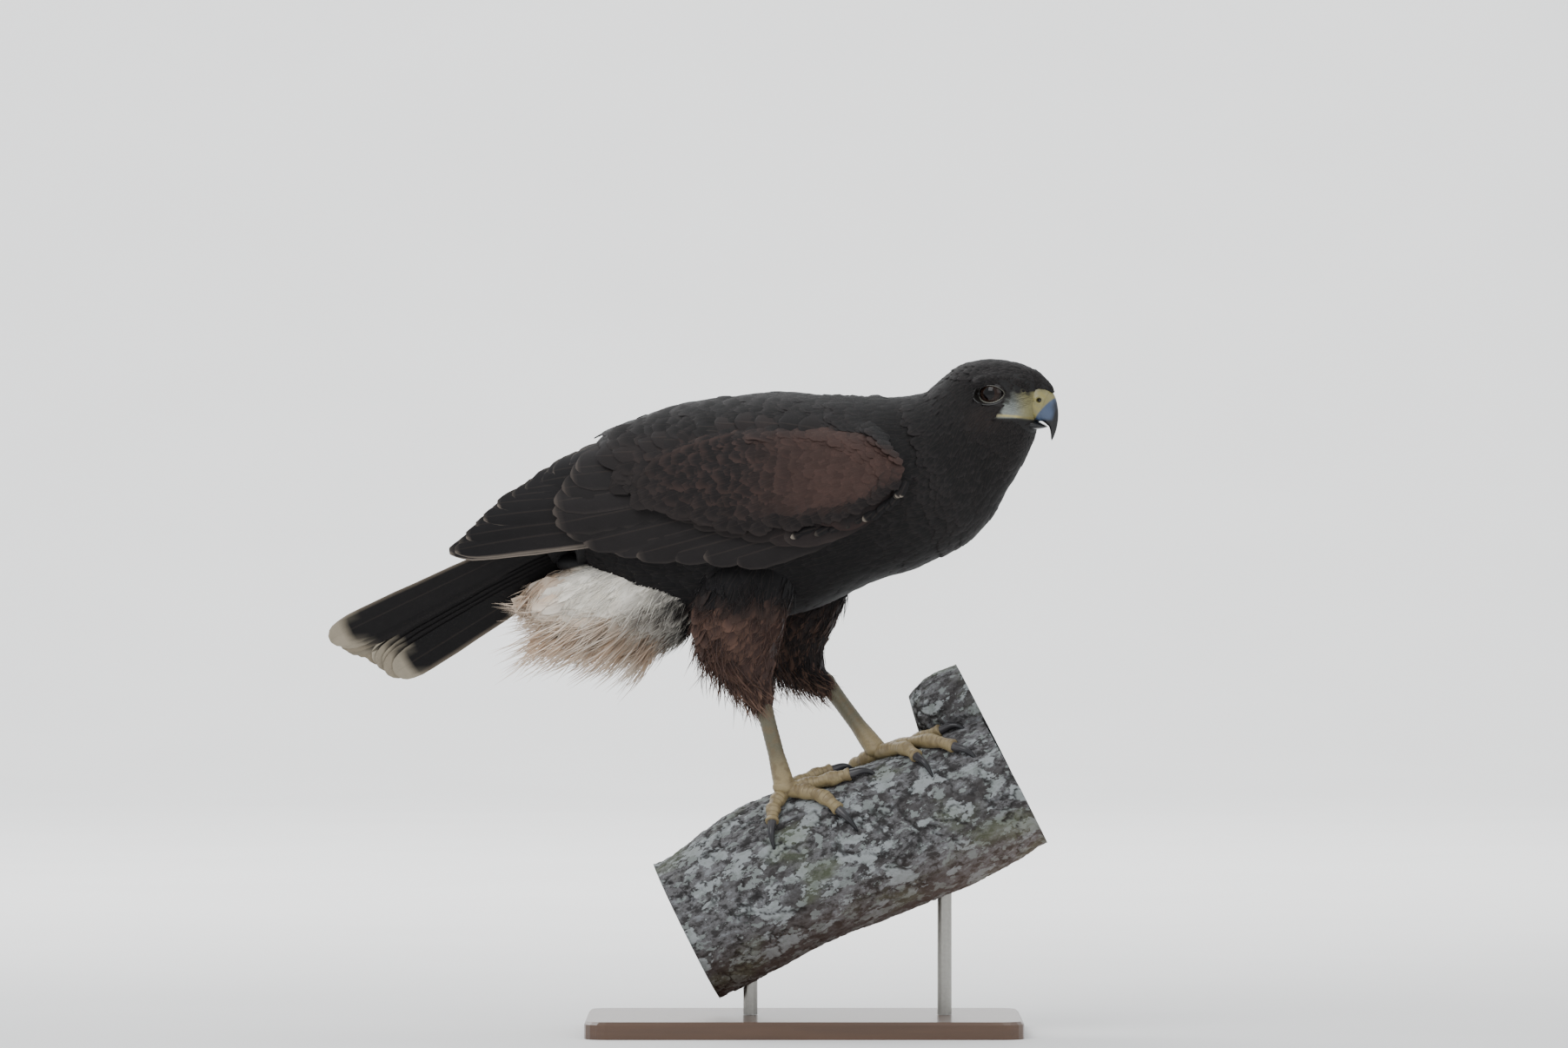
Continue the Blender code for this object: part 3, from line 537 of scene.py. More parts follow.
def piece(name, shape, material, slot, replaced=(), **layers):
    """A finished piece from a shape's points and faces."""
    points, faces = shape
    mesh = bare_mesh(name, points, facing_out(points, faces), **layers)
    return finish_piece(add_object(name, mesh), material, replaced)


def with_poles(tint):
    """The colours of a closed tube: those of its rings, and of the point that closes each end."""
    return np.concatenate([tint.reshape(-1, 3), tint[:1].mean(1), tint[-1:].mean(1)])


class Graph:
    """Builds shader or geometry nodes with little writing."""

    def __init__(self, tree):
        self.tree = tree

    def node(self, kind, inputs=None, **settings):
        made = self.tree.nodes.new(kind)
        for key, value in settings.items():
            setattr(made, key, value)
        for key, value in (inputs or {}).items():
            self.feed(made.inputs[key], value)
        return made

    def feed(self, socket, value):
        if isinstance(value, bpy.types.NodeSocket):
            self.tree.links.new(value, socket)
        else:
            socket.default_value = (*value, 1.0) if socket.type == "RGBA" else value

    def math(self, operation, *values):
        return self.node("ShaderNodeMath", dict(enumerate(values)), operation=operation).outputs[0]

    def times(self, a, b):
        return self.math("MULTIPLY", a, b)

    def fitted(self, value, scale, shift):
        return self.math("MULTIPLY_ADD", value, scale, shift)

    def vector(self, operation, a, b):
        key = "Scale" if operation == "SCALE" else 1
        return self.node("ShaderNodeVectorMath", {0: a, key: b}, operation=operation).outputs[0]

    def split(self, vector):
        return self.node("ShaderNodeSeparateXYZ", {"Vector": vector}).outputs

    def attribute(self, name, output="Color"):
        return self.node("ShaderNodeAttribute", attribute_name=name).outputs[output]

    def place(self):
        return self.node("ShaderNodeTexCoord").outputs["Object"]

    def blend(self, a, b, share, kind="MIX"):
        inputs = {"Factor": share, "A": a, "B": b}
        return self.node("ShaderNodeMix", inputs, data_type="RGBA", blend_type=kind).outputs["Result"]

    def shaded(self, colour, light):
        grey = self.node("ShaderNodeCombineColor", dict.fromkeys(("Red", "Green", "Blue"), light))
        return self.blend(colour, grey.outputs[0], 1.0, "MULTIPLY")

    def ramp(self, value, low, high):
        inputs = {"Value": value, "From Min": low, "From Max": high}
        return self.node("ShaderNodeMapRange", inputs, interpolation_type="SMOOTHSTEP").outputs["Result"]

    def fall(self, value, low, high):
        return self.math("SUBTRACT", 1.0, self.ramp(value, low, high))

    def noise(self, place, scale, detail=3.0, rough=0.5):
        inputs = {"Vector": place, "Scale": scale, "Detail": detail, "Roughness": rough}
        return self.node("ShaderNodeTexNoise", inputs).outputs["Fac"]


def new_material(name):
    material = bpy.data.materials.new(name)
    material.use_nodes = True
    return material, Graph(material.node_tree)


def surface(made, colour, levels, relief=None):
    """Gives a material its colour, its other inputs and its relief: height, strength and distance."""
    material, graph = made
    shader = material.node_tree.nodes["Principled BSDF"]
    inputs = {"Base Color": colour, **levels}
    if relief:
        bump = graph.node("ShaderNodeBump", dict(zip(("Height", "Strength", "Distance"), relief)))
        inputs["Normal"] = bump.outputs["Normal"]
    for key, value in inputs.items():
        graph.feed(shader.inputs[key], value)
    return material


def group_tree(name, inputs, outputs):
    """An empty shader group with a Tint and named numbers going in, and its graph, inputs and outputs."""
    tree = bpy.data.node_groups.new(name, "ShaderNodeTree")
    tree.interface.new_socket("Tint", in_out="INPUT", socket_type="NodeSocketColor")
    for socket_name, value in inputs.items():
        socket = tree.interface.new_socket(socket_name, in_out="INPUT", socket_type="NodeSocketFloat")
        socket.default_value = value
    for socket_name in outputs:
        kind = "NodeSocketColor" if socket_name == "Colour" else "NodeSocketFloat"
        tree.interface.new_socket(socket_name, in_out="OUTPUT", socket_type=kind)
    graph = Graph(tree)
    return tree, graph, graph.node("NodeGroupInput").outputs, graph.node("NodeGroupOutput").inputs


def barb_group():
    """Barbs that slant from a feather's shaft, read from the vane map in hundredths of a metre."""
    inputs = {"Pitch": 1.2, "Contrast": 0.35, "Shaft": 0.4}
    tree, graph, given, result = group_tree("feather_barbs", inputs, ("Colour", "Height", "Sheen"))
    place = graph.node("ShaderNodeUVMap", uv_map="vane").outputs["UV"]
    split = graph.split(place)
    off = graph.math("ABSOLUTE", graph.times(graph.math("SUBTRACT", split["X"], 0.5), 100.0))
    along = graph.times(split["Y"], 100.0)
    wobble = graph.noise(place, 22.0, 2.0)
    slant = graph.math("SUBTRACT", along, graph.times(off, 1.1))
    slant = graph.math("ADD", slant, graph.times(wobble, 2.2))
    phase = graph.times(graph.math("DIVIDE", slant, given["Pitch"]), 2 * math.pi)
    stripes = graph.fitted(graph.math("SINE", phase), 0.5, 0.5)
    shaft = graph.fall(off, given["Shaft"], graph.times(given["Shaft"], 2.2))
    patches = graph.noise(graph.place(), 90.0, 4.0, 0.6)
    light = graph.fitted(graph.math("SUBTRACT", stripes, 0.5), given["Contrast"], 1.0)
    light = graph.times(light, graph.fitted(patches, 0.5, 0.75))
    light = graph.times(light, graph.fitted(graph.attribute("grain", "Fac"), 0.34, 0.83))
    colour = graph.shaded(given["Tint"], light)
    colour = graph.blend(colour, srgb(84, 72, 64), graph.times(shaft, 0.10))
    graph.feed(result["Colour"], colour)
    graph.feed(result["Height"], graph.math("ADD", graph.times(stripes, 0.5), shaft))
    graph.feed(result["Sheen"], stripes)
    return tree


def grain_group():
    """Fine grain that mottles a tint and gives its relief."""
    inputs = {"Scale": 500.0, "Mottle": 0.2}
    tree, graph, given, result = group_tree("fine_grain", inputs, ("Colour", "Height"))
    grain = graph.noise(graph.place(), given["Scale"], 5.0, 0.6)
    least = graph.math("SUBTRACT", 1.0, given["Mottle"])
    light = graph.fitted(grain, graph.times(given["Mottle"], 2.0), least)
    graph.feed(result["Colour"], graph.shaded(given["Tint"], light))
    graph.feed(result["Height"], grain)
    return tree


BARBS = barb_group()
GRAIN = grain_group()


def feather_material(name, pitch, contrast, shaft, rough, bump, sheen, rimmed=True):
    """Barbed vanes in each feather's tint, with its rim's colour towards the edge where it is rimmed."""
    made = new_material(name)
    graph = made[1]
    tint = graph.attribute("tint")
    if rimmed:
        spot = graph.split(graph.attribute("part", "Vector"))
        off = graph.times(graph.math("ABSOLUTE", graph.math("SUBTRACT", spot["X"], 0.5)), 2.0)
        reach = graph.fitted(graph.times(off, off), 0.5, spot["Y"])
        tint = graph.blend(tint, graph.attribute("rim"), graph.ramp(reach, 0.62, 1.02))
    inputs = {"Tint": tint, "Pitch": pitch, "Contrast": contrast, "Shaft": shaft}
    barbs = graph.node("ShaderNodeGroup", node_tree=BARBS)
    for key, value in inputs.items():
        graph.feed(barbs.inputs[key], value)
    levels = {
        "Roughness": graph.fitted(barbs.outputs["Sheen"], 0.12, rough - 0.06),
        "Specular IOR Level": 0.16,
        "Sheen Weight": sheen,
        "Sheen Roughness": 0.45,
    }
    return surface(made, barbs.outputs["Colour"], levels, (barbs.outputs["Height"], bump, 0.0004))


# What the small feathers are laid on: surfaces that carry each place's lie, size and colour of the feather.
UNWRAP = (0.02, 0.975)


def surface_normals(rings):
    """Normals of closed rings, away from their middle."""
    down = np.gradient(rings, axis=0)
    side = np.roll(rings, -1, 1) - np.roll(rings, 1, 1)
    normals = unit(np.cross(side, down))
    middle = rings.mean(1, keepdims=True)
    sign = np.sign(np.einsum("ijk,ijk->ij", normals, rings - middle).mean())
    return normals * sign


def sheet_normals(rings):
    """Normals of an open sheet on one side of the bird, away from its middle."""
    normals = unit(np.cross(np.gradient(rings, axis=1), np.gradient(rings, axis=0)))
    outward = np.sign((normals[..., 1] * rings[..., 1]).mean())
    return normals * outward


# A contour feather of unit length: how far along and the width there, and the blade's lie.
BLADE = [(0.0, 0.3), (0.18, 0.72), (0.42, 1.0), (0.68, 0.96), (0.86, 0.7), (0.96, 0.36), (1.0, 0.08)]
BLADE_CAMBER = 0.07
BLADE_THICK = 0.035
BLADE_RISE = 0.17
BLADE_SAG = 0.07
BLADE_RAGGED = 0.16
# How many templates each kind of feather has, and how the laying nodes take their inputs.
KINDS = 4
MOST_DENSE = 2.0e6
LAYING_SOCKETS = (
    ("Surface", "Geometry", None),
    ("Feathers", "Collection", None),
    ("Finish", "Material", None),
    ("Spacing", "Float", 0.005),
    ("Sink", "Float", 0.002),
    ("Swing", "Float", 0.15),
    ("Size Spread", "Float", 0.15),
    ("Seed", "Int", 1),
)


def blade_rings(seed):
    """One flat ragged blade of unit length along +x: four points a ring."""
    draw = np.random.default_rng(seed)
    rings = []
    for s, share in BLADE:
        edge = 0.5 * share
        left = edge * (1 + BLADE_RAGGED * draw.uniform(-1, 1))
        right = edge * (1 + BLADE_RAGGED * draw.uniform(-1, 1))
        z = BLADE_RISE * (1 - (1 - s) ** 2) - BLADE_SAG * s * s
        top = z + BLADE_CAMBER * (1 - 0.5 * s)
        rings.append([(s, -left, z), (s, 0, top), (s, right, z), (s, 0, top - BLADE_THICK)])
    return np.array(rings)


def template(name, blades):
    """A feather or tuft of unit length made of blades, with its vane map."""
    shapes, places = [], []
    for rings in blades:
        rows, sides = rings.shape[:2]
        last = (rows - 1) * sides
        ends = [np.arange(sides)[None, ::-1], last + np.arange(sides)[None, :]]
        shapes.append((rings.reshape(-1, 3), [grid_faces(rows, sides)] + ends))
        places.append(rings.reshape(-1, 3)[:, [1, 0]])
    points, faces = joined(shapes)
    vane = np.concatenate(places) + (0.5, 0)
    mesh = bare_mesh(name, points / MM - SHIFT / MM, facing_out(points, faces), maps={"vane": vane})
    mesh.set_sharp_from_angle(angle=math.radians(60))
    return bpy.data.objects.new(name, mesh)


def template_set(name, kinds):
    """A collection of templates, each given by its blades, for the laying nodes to pick from."""
    collection = bpy.data.collections.new(name)
    for k, blades in enumerate(kinds):
        collection.objects.link(template(f"{name}_{k}", blades))
    return collection


def strand_rings(draw, long, swing, start, thin):
    """A thin strand of three sides that curves and ends in a point."""
    rings = []
    rise = draw.uniform(0.03, 0.26)
    sag = draw.uniform(0.05, 0.2)
    wave = draw.uniform(-0.08, 0.08)
    for s, share in ((0.0, 0.8), (0.35, 1.0), (0.7, 0.75), (1.0, 0.06)):
        x = start[0] + s * long
        y = start[1] + swing * s**1.5 + wave * math.sin(3 * s)
        z = rise * (1 - (1 - s) ** 2) - sag * s * s
        half = 0.5 * thin * share
        rings.append([(x, y - half, z), (x, y, z + half), (x, y + half, z)])
    return np.array(rings)


def wisp_kinds(strands, spread):
    """Loose wisps of thin strands that spread from one root."""
    kinds = []
    for k in range(KINDS):
        draw = np.random.default_rng(50 + k)
        blades = []
        for b in range(strands):
            off = b / (strands - 1) - 0.5
            swing = spread * off + draw.uniform(-0.14, 0.14)
            start = (draw.uniform(0.0, 0.3), 0.3 * off)
            thin = draw.uniform(0.02, 0.036)
            blades.append(strand_rings(draw, draw.uniform(0.5, 1.05), swing, start, thin))
        kinds.append(blades)
    return kinds


def bristle_kinds():
    draw = np.random.default_rng(5)
    return [[strand_rings(draw, 1.0, draw.uniform(-0.3, 0.3), (0, 0), 0.04)] for k in range(KINDS)]


def laying_tree():
    """Geometry nodes that lay feathers over a surface, each by the lie, size and colour stored there."""
    tree = bpy.data.node_groups.new("lay_feathers", "GeometryNodeTree")
    sockets = {}
    for name, kind, value in LAYING_SOCKETS:
        socket = tree.interface.new_socket(name, in_out="INPUT", socket_type="NodeSocket" + kind)
        if value is not None:
            socket.default_value = value
        sockets[name] = socket.identifier
    tree.interface.new_socket("Coat", in_out="OUTPUT", socket_type="NodeSocketGeometry")
    graph = Graph(tree)
    given = graph.node("NodeGroupInput").outputs
    result = graph.node("NodeGroupOutput")

    def stored(name, kind="FLOAT"):
        made = graph.node("GeometryNodeInputNamedAttribute", {"Name": name}, data_type=kind)
        return made.outputs["Attribute"]

    def store(geometry, name, value, kind, domain="CORNER"):
        inputs = {"Geometry": geometry, "Name": name, "Value": value}
        return graph.node("GeometryNodeStoreNamedAttribute", inputs, data_type=kind, domain=domain).outputs[0]

    def chance(low, high, shift, kind="FLOAT"):
        inputs = {"Min": low, "Max": high, "Seed": graph.math("ADD", given["Seed"], float(shift))}
        made = graph.node("FunctionNodeRandomValue", inputs, data_type=kind)
        return [s for s in made.outputs if s.enabled][0]

    def sized(name, size):
        return graph.times(stored(name), size)

    normal = stored("stands", "FLOAT_VECTOR")
    flow = stored("flow", "FLOAT_VECTOR")
    spread = {"Mesh": given["Surface"], "Distance Min": given["Spacing"], "Density Max": MOST_DENSE,
              "Density Factor": stored("cover"), "Seed": given["Seed"]}
    spread = graph.node("GeometryNodeDistributePointsOnFaces", spread, distribute_method="POISSON")
    angle = chance(graph.times(given["Swing"], -1.0), given["Swing"], 1)
    sway = graph.vector("SCALE", graph.vector("CROSS_PRODUCT", normal, flow), angle)
    turn = {0: graph.vector("ADD", flow, sway), 1: normal}
    turn = graph.node("FunctionNodeAxesToRotation", turn, primary_axis="X", secondary_axis="Z")
    size = [graph.math(kind, 1.0, given["Size Spread"]) for kind in ("SUBTRACT", "ADD")]
    size = chance(*size, 2)
    long = sized("reach", size)
    scale = {"X": long, "Y": sized("breadth", size), "Z": long}
    drop = graph.vector("SCALE", normal, graph.times(given["Sink"], -1.0))
    sunk = {"Geometry": spread.outputs["Points"], "Offset": drop}
    sunk = graph.node("GeometryNodeSetPosition", sunk).outputs[0]
    kinds = {"Collection": given["Feathers"], "Separate Children": True, "Reset Children": True}
    lay = {
        "Points": store(sunk, "grain", chance(0.0, 1.0, 3), "FLOAT", "POINT"),
        "Instance": graph.node("GeometryNodeCollectionInfo", kinds).outputs[0],
        "Pick Instance": True,
        "Instance Index": chance(0, KINDS - 1, 4, "INT"),
        "Rotation": turn.outputs[0],
        "Scale": graph.node("ShaderNodeCombineXYZ", scale).outputs[0],
    }
    lay = graph.node("GeometryNodeInstanceOnPoints", lay)
    coat = graph.node("GeometryNodeRealizeInstances", {"Geometry": lay.outputs[0]}).outputs[0]
    vane = stored("vane", "FLOAT_VECTOR")
    coat = store(coat, "part", vane, "FLOAT_VECTOR")
    patch = graph.vector("SCALE", graph.vector("SUBTRACT", vane, (0.5, 0.5, 0)), 0.003)
    spot = graph.vector("ADD", stored("root_place", "FLOAT_VECTOR"), patch)
    coat = store(coat, "OFBake", spot, "FLOAT2")
    grown = {"X": sized("breadth", 10.0), "Y": sized("reach", 10.0)}
    grown = graph.node("ShaderNodeCombineXYZ", grown).outputs[0]
    grown = graph.vector("MULTIPLY", graph.vector("SUBTRACT", vane, (0.5, 0, 0)), grown)
    coat = store(coat, "vane", graph.vector("ADD", grown, (0.5, 0, 0)), "FLOAT2")
    finish = graph.node("GeometryNodeSetMaterial", {"Geometry": coat, "Material": given["Finish"]})
    graph.feed(result.inputs[0], finish.outputs[0])
    return tree, sockets


LAYING, LAYING_INPUTS = laying_tree()


def lay_coat(name, rings, lie, colours, cover, laid, settings, wrap=True):
    """Lays feathers over a surface of rings, and leaves only them, as one plain mesh.

    lie is the feathers' flow, length and width, colours their tint and rim, laid the templates and their
    material, and settings the spacing, sink, swing, seed and spread of sizes.
    """
    spacing, sink, swing, seed, spread = settings
    rows, columns = rings.shape[:2]
    flow, length, width = lie
    tint, rim = [np.broadcast_to(colour, rings.shape).reshape(-1, 3) for colour in colours]
    down, across = np.meshgrid(np.linspace(*UNWRAP, rows), np.linspace(*UNWRAP, columns), indexing="ij")
    flat = [np.broadcast_to(field, (rows, columns)).ravel() for field in (length, width, cover)]
    values = {
        "flow": unit(flow).reshape(-1, 3),
        "reach": flat[0] * MM,
        "breadth": flat[1] * MM,
        "cover": flat[2],
        "root_place": np.stack([across, down, 0 * down], -1).reshape(-1, 3),
        "stands": (surface_normals(rings) if wrap else sheet_normals(rings)).reshape(-1, 3),
        "rim": rim,
    }
    mesh = bare_mesh(name, rings.reshape(-1, 3), [grid_faces(rows, columns, wrap)], tint=tint, values=values)
    source = add_object(name, mesh)
    modifier = source.modifiers.new("lay_feathers", "NODES")
    modifier.node_group = LAYING
    settings = {"Feathers": laid[0], "Finish": laid[1], "Spacing": spacing * MM, "Sink": sink * MM,
                "Swing": swing, "Seed": seed, "Size Spread": spread}
    for key, value in settings.items():
        modifier[LAYING_INPUTS[key]] = value
    plain_mesh(source)
    for extra in list(values)[:-1]:
        layer = source.data.attributes.get(extra)
        if layer:
            source.data.attributes.remove(layer)
    return finish_piece(source, laid[1])


def reach_grid():
    """How far out the wings' surface lies, on a grid of the side view."""
    tree = ray_tree(*closed_tube(sections(curve_through(WING_GUIDE, 60), 120)))
    grid = np.full((len(GRID_X), len(GRID_Z)), LEAST_REACH)
    for i, x in enumerate(GRID_X):
        for k, z in enumerate(GRID_Z):
            hit = tree.ray_cast(Vector((x, -200, z)), Vector((0, 1, 0)))[0]
            if hit:
                grid[i, k] = max(-hit.y, LEAST_REACH)
    return grid


LEAST_REACH = 8.0
GRID_STEP = 4.0
GRID_X = np.arange(-264, 176, GRID_STEP)
GRID_Z = np.arange(248, 456, GRID_STEP)
REACH = reach_grid()


def wing_reach(x, z):
    """The wings' surface at places of the side view, between the grid's points."""
    u = np.clip((x - GRID_X[0]) / GRID_STEP, 0, len(GRID_X) - 1.001)
    v = np.clip((z - GRID_Z[0]) / GRID_STEP, 0, len(GRID_Z) - 1.001)
    i, k = u.astype(int), v.astype(int)
    f, g = u - i, v - k
    near = REACH[i, k] * (1 - f) + REACH[i + 1, k] * f
    far = REACH[i, k + 1] * (1 - f) + REACH[i + 1, k + 1] * f
    return near * (1 - g) + far * g


def wing_chart(side):
    """Lays x, z and a height over the wings' surface on one side of the bird."""
    return lambda x, z, h: np.stack([x, side * (wing_reach(x, z) + h), z], -1)


def tail_chart(a, b, h):
    """A place on the tail: a along it, b towards the bird's right edge, h above its upper face."""
    ahead = np.array((-math.cos(TAIL_SLOPE), 0, -math.sin(TAIL_SLOPE)))
    up = np.array((-math.sin(TAIL_SLOPE), 0, math.cos(TAIL_SLOPE)))
    right = np.array((0.0, -1.0, 0.0))
    roll = (TAIL_ROLL * ease(a / TAIL_ROLL_LENGTH))[..., None]
    across = right * np.cos(roll) + up * np.sin(roll)
    normal = up * np.cos(roll) - right * np.sin(roll)
    a, b, h = a[..., None], b[..., None], h[..., None]
    return TAIL_ROOT + ahead * a + across * b + normal * (h - TAIL_ARCH * b * b)


# Vane outlines: how far along, and the share of the width there.
OUTLINES = {
    "primary": [
        (0, 0.35), (0.12, 0.6), (0.35, 0.92), (0.6, 1), (0.8, 0.94), (0.9, 0.8), (0.96, 0.58), (1, 0.2),
    ],
    "secondary": [
        (0, 0.4), (0.15, 0.75), (0.4, 1), (0.7, 1), (0.86, 0.94), (0.94, 0.74), (0.98, 0.46), (1, 0.12),
    ],
    "covert": [
        (0, 0.5), (0.2, 0.85), (0.5, 1), (0.72, 0.97), (0.86, 0.82), (0.94, 0.6), (0.98, 0.36), (1, 0.1),
    ],
    "tail": [
        (0, 0.3), (0.15, 0.55), (0.45, 0.86), (0.75, 1), (0.92, 0.98), (0.965, 0.84), (0.99, 0.58), (1, 0.25),
    ],
}
# Stations along a vane, places round its section (seven above, four below) and how far the lower ones sink.
STATIONS = np.concatenate([np.linspace(0, 0.8, 11), [0.86, 0.91, 0.95, 0.975, 0.99, 1.0]])
ACROSS = np.array([-1, -0.8, -0.45, 0, 0.45, 0.8, 1, 0.72, 0.3, -0.3, -0.72])
VANE_THICK = np.where(np.arange(len(ACROSS)) < 7, 0.0, -0.55 * (1 - np.abs(ACROSS)) - 0.12)
SHAFT_RISE = 0.28


def large_feather(chart, root, tip, half_width, lifts, slope, outline, seed, camber=1.0, bend=0.0):
    """One feather laid on a chart: its points, faces, place along, place across, length and half width."""
    draw = np.random.default_rng(seed)
    root, tip = np.asarray(root, float), np.asarray(tip, float)
    long = np.linalg.norm(tip - root)
    ahead = (tip - root) / long
    side = np.array([-ahead[1], ahead[0]])
    rows, columns = len(STATIONS), len(ACROSS)
    s = STATIONS[:, None]
    share = np.interp(s, *np.array(OUTLINES[outline], float).T)
    off = half_width * share * ACROSS * (1 + draw.uniform(-0.035, 0.035, (rows, 1)))
    # The vane reaches back at the edges, so the tip is round.
    along = s * long - 0.10 * half_width * ACROSS**2 * share
    sway = bend * np.sin(np.pi * s)
    x = root[0] + ahead[0] * along + side[0] * (off + sway)
    z = root[1] + ahead[1] * along + side[1] * (off + sway)
    hump = camber * (1 - ACROSS**2) * share
    ridge = SHAFT_RISE * (np.arange(columns) == 3) * (1 - s**2)
    height = lifts[0] + (lifts[1] - lifts[0]) * s + slope * off + hump + ridge + VANE_THICK
    ends = np.concatenate([fan_cap(columns, 0)[:, ::-1], fan_cap(columns, (rows - 1) * columns)])
    points = chart(x, z, height).reshape(-1, 3)
    faces = [grid_faces(rows, columns), ends]
    return points, faces, np.repeat(STATIONS, columns), np.tile(ACROSS, rows), long, half_width


def fan_cap(columns, first):
    """Triangles that close a ring from its first corner."""
    k = np.arange(1, columns - 1)
    return np.stack([np.full(len(k), first), first + k, first + k + 1], 1)


def feather_piece(name, feathers, material, replaced):
    """One object from laid feathers, each with its colour and its own cell of the baking map."""
    cells = math.ceil(math.sqrt(len(feathers)))
    columns = len(ACROSS)
    faces, baked = {4: [], 3: []}, {4: [], 3: []}
    count = 0
    for k, ((spots, parts, s, *rest), colour, grain) in enumerate(feathers):
        ring = np.arange(len(spots)) % columns
        cell = np.array([k % cells, k // cells])
        for part in facing_out(spots, parts):
            corners = part.shape[1]
            around = ring[part].astype(float)
            if corners == 4:
                wide = np.ptp(around, axis=1, keepdims=True) > columns / 2
                around = np.where(wide & (around < columns / 2), around + columns, around)
            place = np.stack([0.04 + 0.92 * around / columns, 0.04 + 0.92 * s[part]], -1)
            baked[corners].append(((cell + place) / cells).reshape(-1, 2))
            faces[corners].append(part + count)
        count += len(spots)
    shapes, tints, grains = zip(*feathers)
    vanes = [np.stack([0.5 + c * half / 100, s * long / 100], 1) for _, _, s, c, long, half in shapes]
    maps = {"vane": np.concatenate(vanes)}
    values = {
        "grain": np.concatenate([np.full(len(shape[0]), grain) for shape, grain in zip(shapes, grains)]),
        "along": np.concatenate([shape[2] for shape in shapes]),
    }
    points = np.concatenate([shape[0] for shape in shapes])
    faces = [np.concatenate(faces[4]), np.concatenate(faces[3])]
    mesh = bare_mesh(name, points, faces, maps, np.concatenate(tints), values)
    layer = mesh.uv_layers.new(name="OFBake")
    layer.data.foreach_set("uv", np.concatenate(baked[4] + baked[3]).astype(np.float32).ravel())
    mesh.set_sharp_from_angle(angle=math.radians(50))
    return finish_piece(add_object(name, mesh), material, replaced)


def row_of(chart, row, seed):
    """A row of overlapping feathers from root and tip curves, each drawn through a few points."""
    count, roots, tips, half_width, lifts, slope, outline, paint, bend = row
    draw = np.random.default_rng(seed)
    made = []
    for k in range(count):
        share = k / (count - 1)
        root = curve(roots, share * (len(roots) - 1))
        tip = curve(tips, share * (len(tips) - 1)) + draw.normal(0, 1, 2)
        wide = half_width * draw.uniform(0.94, 1.06)
        lift = (lifts[0] + 0.2 * (k % 2), lifts[1] + 0.35 * (k % 2))
        shape = large_feather(chart, root, tip, wide, lift, slope, outline, seed * 97 + k, 1.1, bend)
        colour = paint(share, shape[2], shape[3], shape[0], draw.uniform(-1, 1))
        made.append((shape, colour, draw.uniform(0, 1)))
    return made


def edge_of(s, c, rim=0.16, tip=0.05):
    """1 at the vane's edge and tip, 0 inside."""
    sides = ease((np.abs(c) - 1 + rim) / rim)
    return np.maximum(sides * ease((s - 0.2) / 0.3), ease((s - 1 + tip) / tip))


def paint_primary(share, s, c, place, chance):
    base = mix(srgb(27, 24, 24), srgb(19, 17, 18), ease((s - 0.4) / 0.5))
    pale = np.where(c > 0, 1.0, 0.25) * edge_of(s, c, 0.16, 0.02)
    return mix(base, srgb(124, 114, 104), 0.75 * pale)


def paint_secondary(share, s, c, place, chance):
    base = mix(WING_BROWN, srgb(25, 22, 22), 0.5 + 0.3 * chance)
    tip = ease((s - 0.965) / 0.03)
    return mix(mix(base, WING_EDGE, 0.35 * edge_of(s, c, 0.12, 0.035)), srgb(104, 94, 86), 0.32 * tip)


def rufous_share(place):
    """How rufous the folded wing is at a place: most at the bend and the upper front."""
    x, z = place[..., 0], place[..., 2]
    front = ease((x - 40) / 90)
    high = ease((z - 352) / 26)
    return np.clip(front * (0.55 + 0.45 * high) + 0.35 * ease((x + 30) / 90) * high, 0, 1)


def paint_greater(share, s, c, place, chance):
    base = mix(srgb(27, 23, 23), srgb(34, 27, 26), 0.5 + 0.5 * chance)
    rim = edge_of(s, c, 0.3, 0.09)
    edge = mix(WING_EDGE, RUFOUS, 0.6 * rufous_share(place))
    return mix(base, edge, 0.35 * rim)


def paint_median(share, s, c, place, chance):
    base = mix(srgb(26, 22, 22), RUFOUS_DARK, np.clip(rufous_share(place) - 0.3 + 0.15 * chance, 0, 1))
    rim = edge_of(s, c, 0.5, 0.2)
    return mix(base, RUFOUS, 0.8 * rim * np.clip(0.2 + 0.75 * rufous_share(place), 0, 1))


def paint_front(share, s, c, place, chance):
    tip = ease((s - 0.84) / 0.1) * ease((chance - 0.1) / 0.6)
    return mix(BELLY_EDGE, srgb(118, 110, 100), tip)


def paint_scapular(share, s, c, place, chance):
    base = mix(SOOT, srgb(34, 28, 27), 0.5 + 0.5 * chance)
    return mix(base, SOOT_EDGE, 0.5 * edge_of(s, c, 0.3, 0.1))


def paint_rectrix(share, s, c, place, chance):
    base = mix(TAIL_DARK, srgb(26, 23, 23), 0.5 + 0.5 * chance)
    rim = ease((-c - 0.84) / 0.14) * ease((s - 0.1) / 0.2)
    base = mix(base, srgb(110, 100, 88), (0.8 if share > 0.9 else 0.2) * rim)
    # The pale end band, dimmed towards brown by a share that differs from feather to feather: painted shade
    # over the band's white.
    band = ease((s - 0.912 - 0.012 * np.cos(c * 3)) / 0.018)
    return mix(base, mix(TAIL_BAND_SHADED, srgb(112, 99, 80), 0.45 + 0.35 * chance), band)


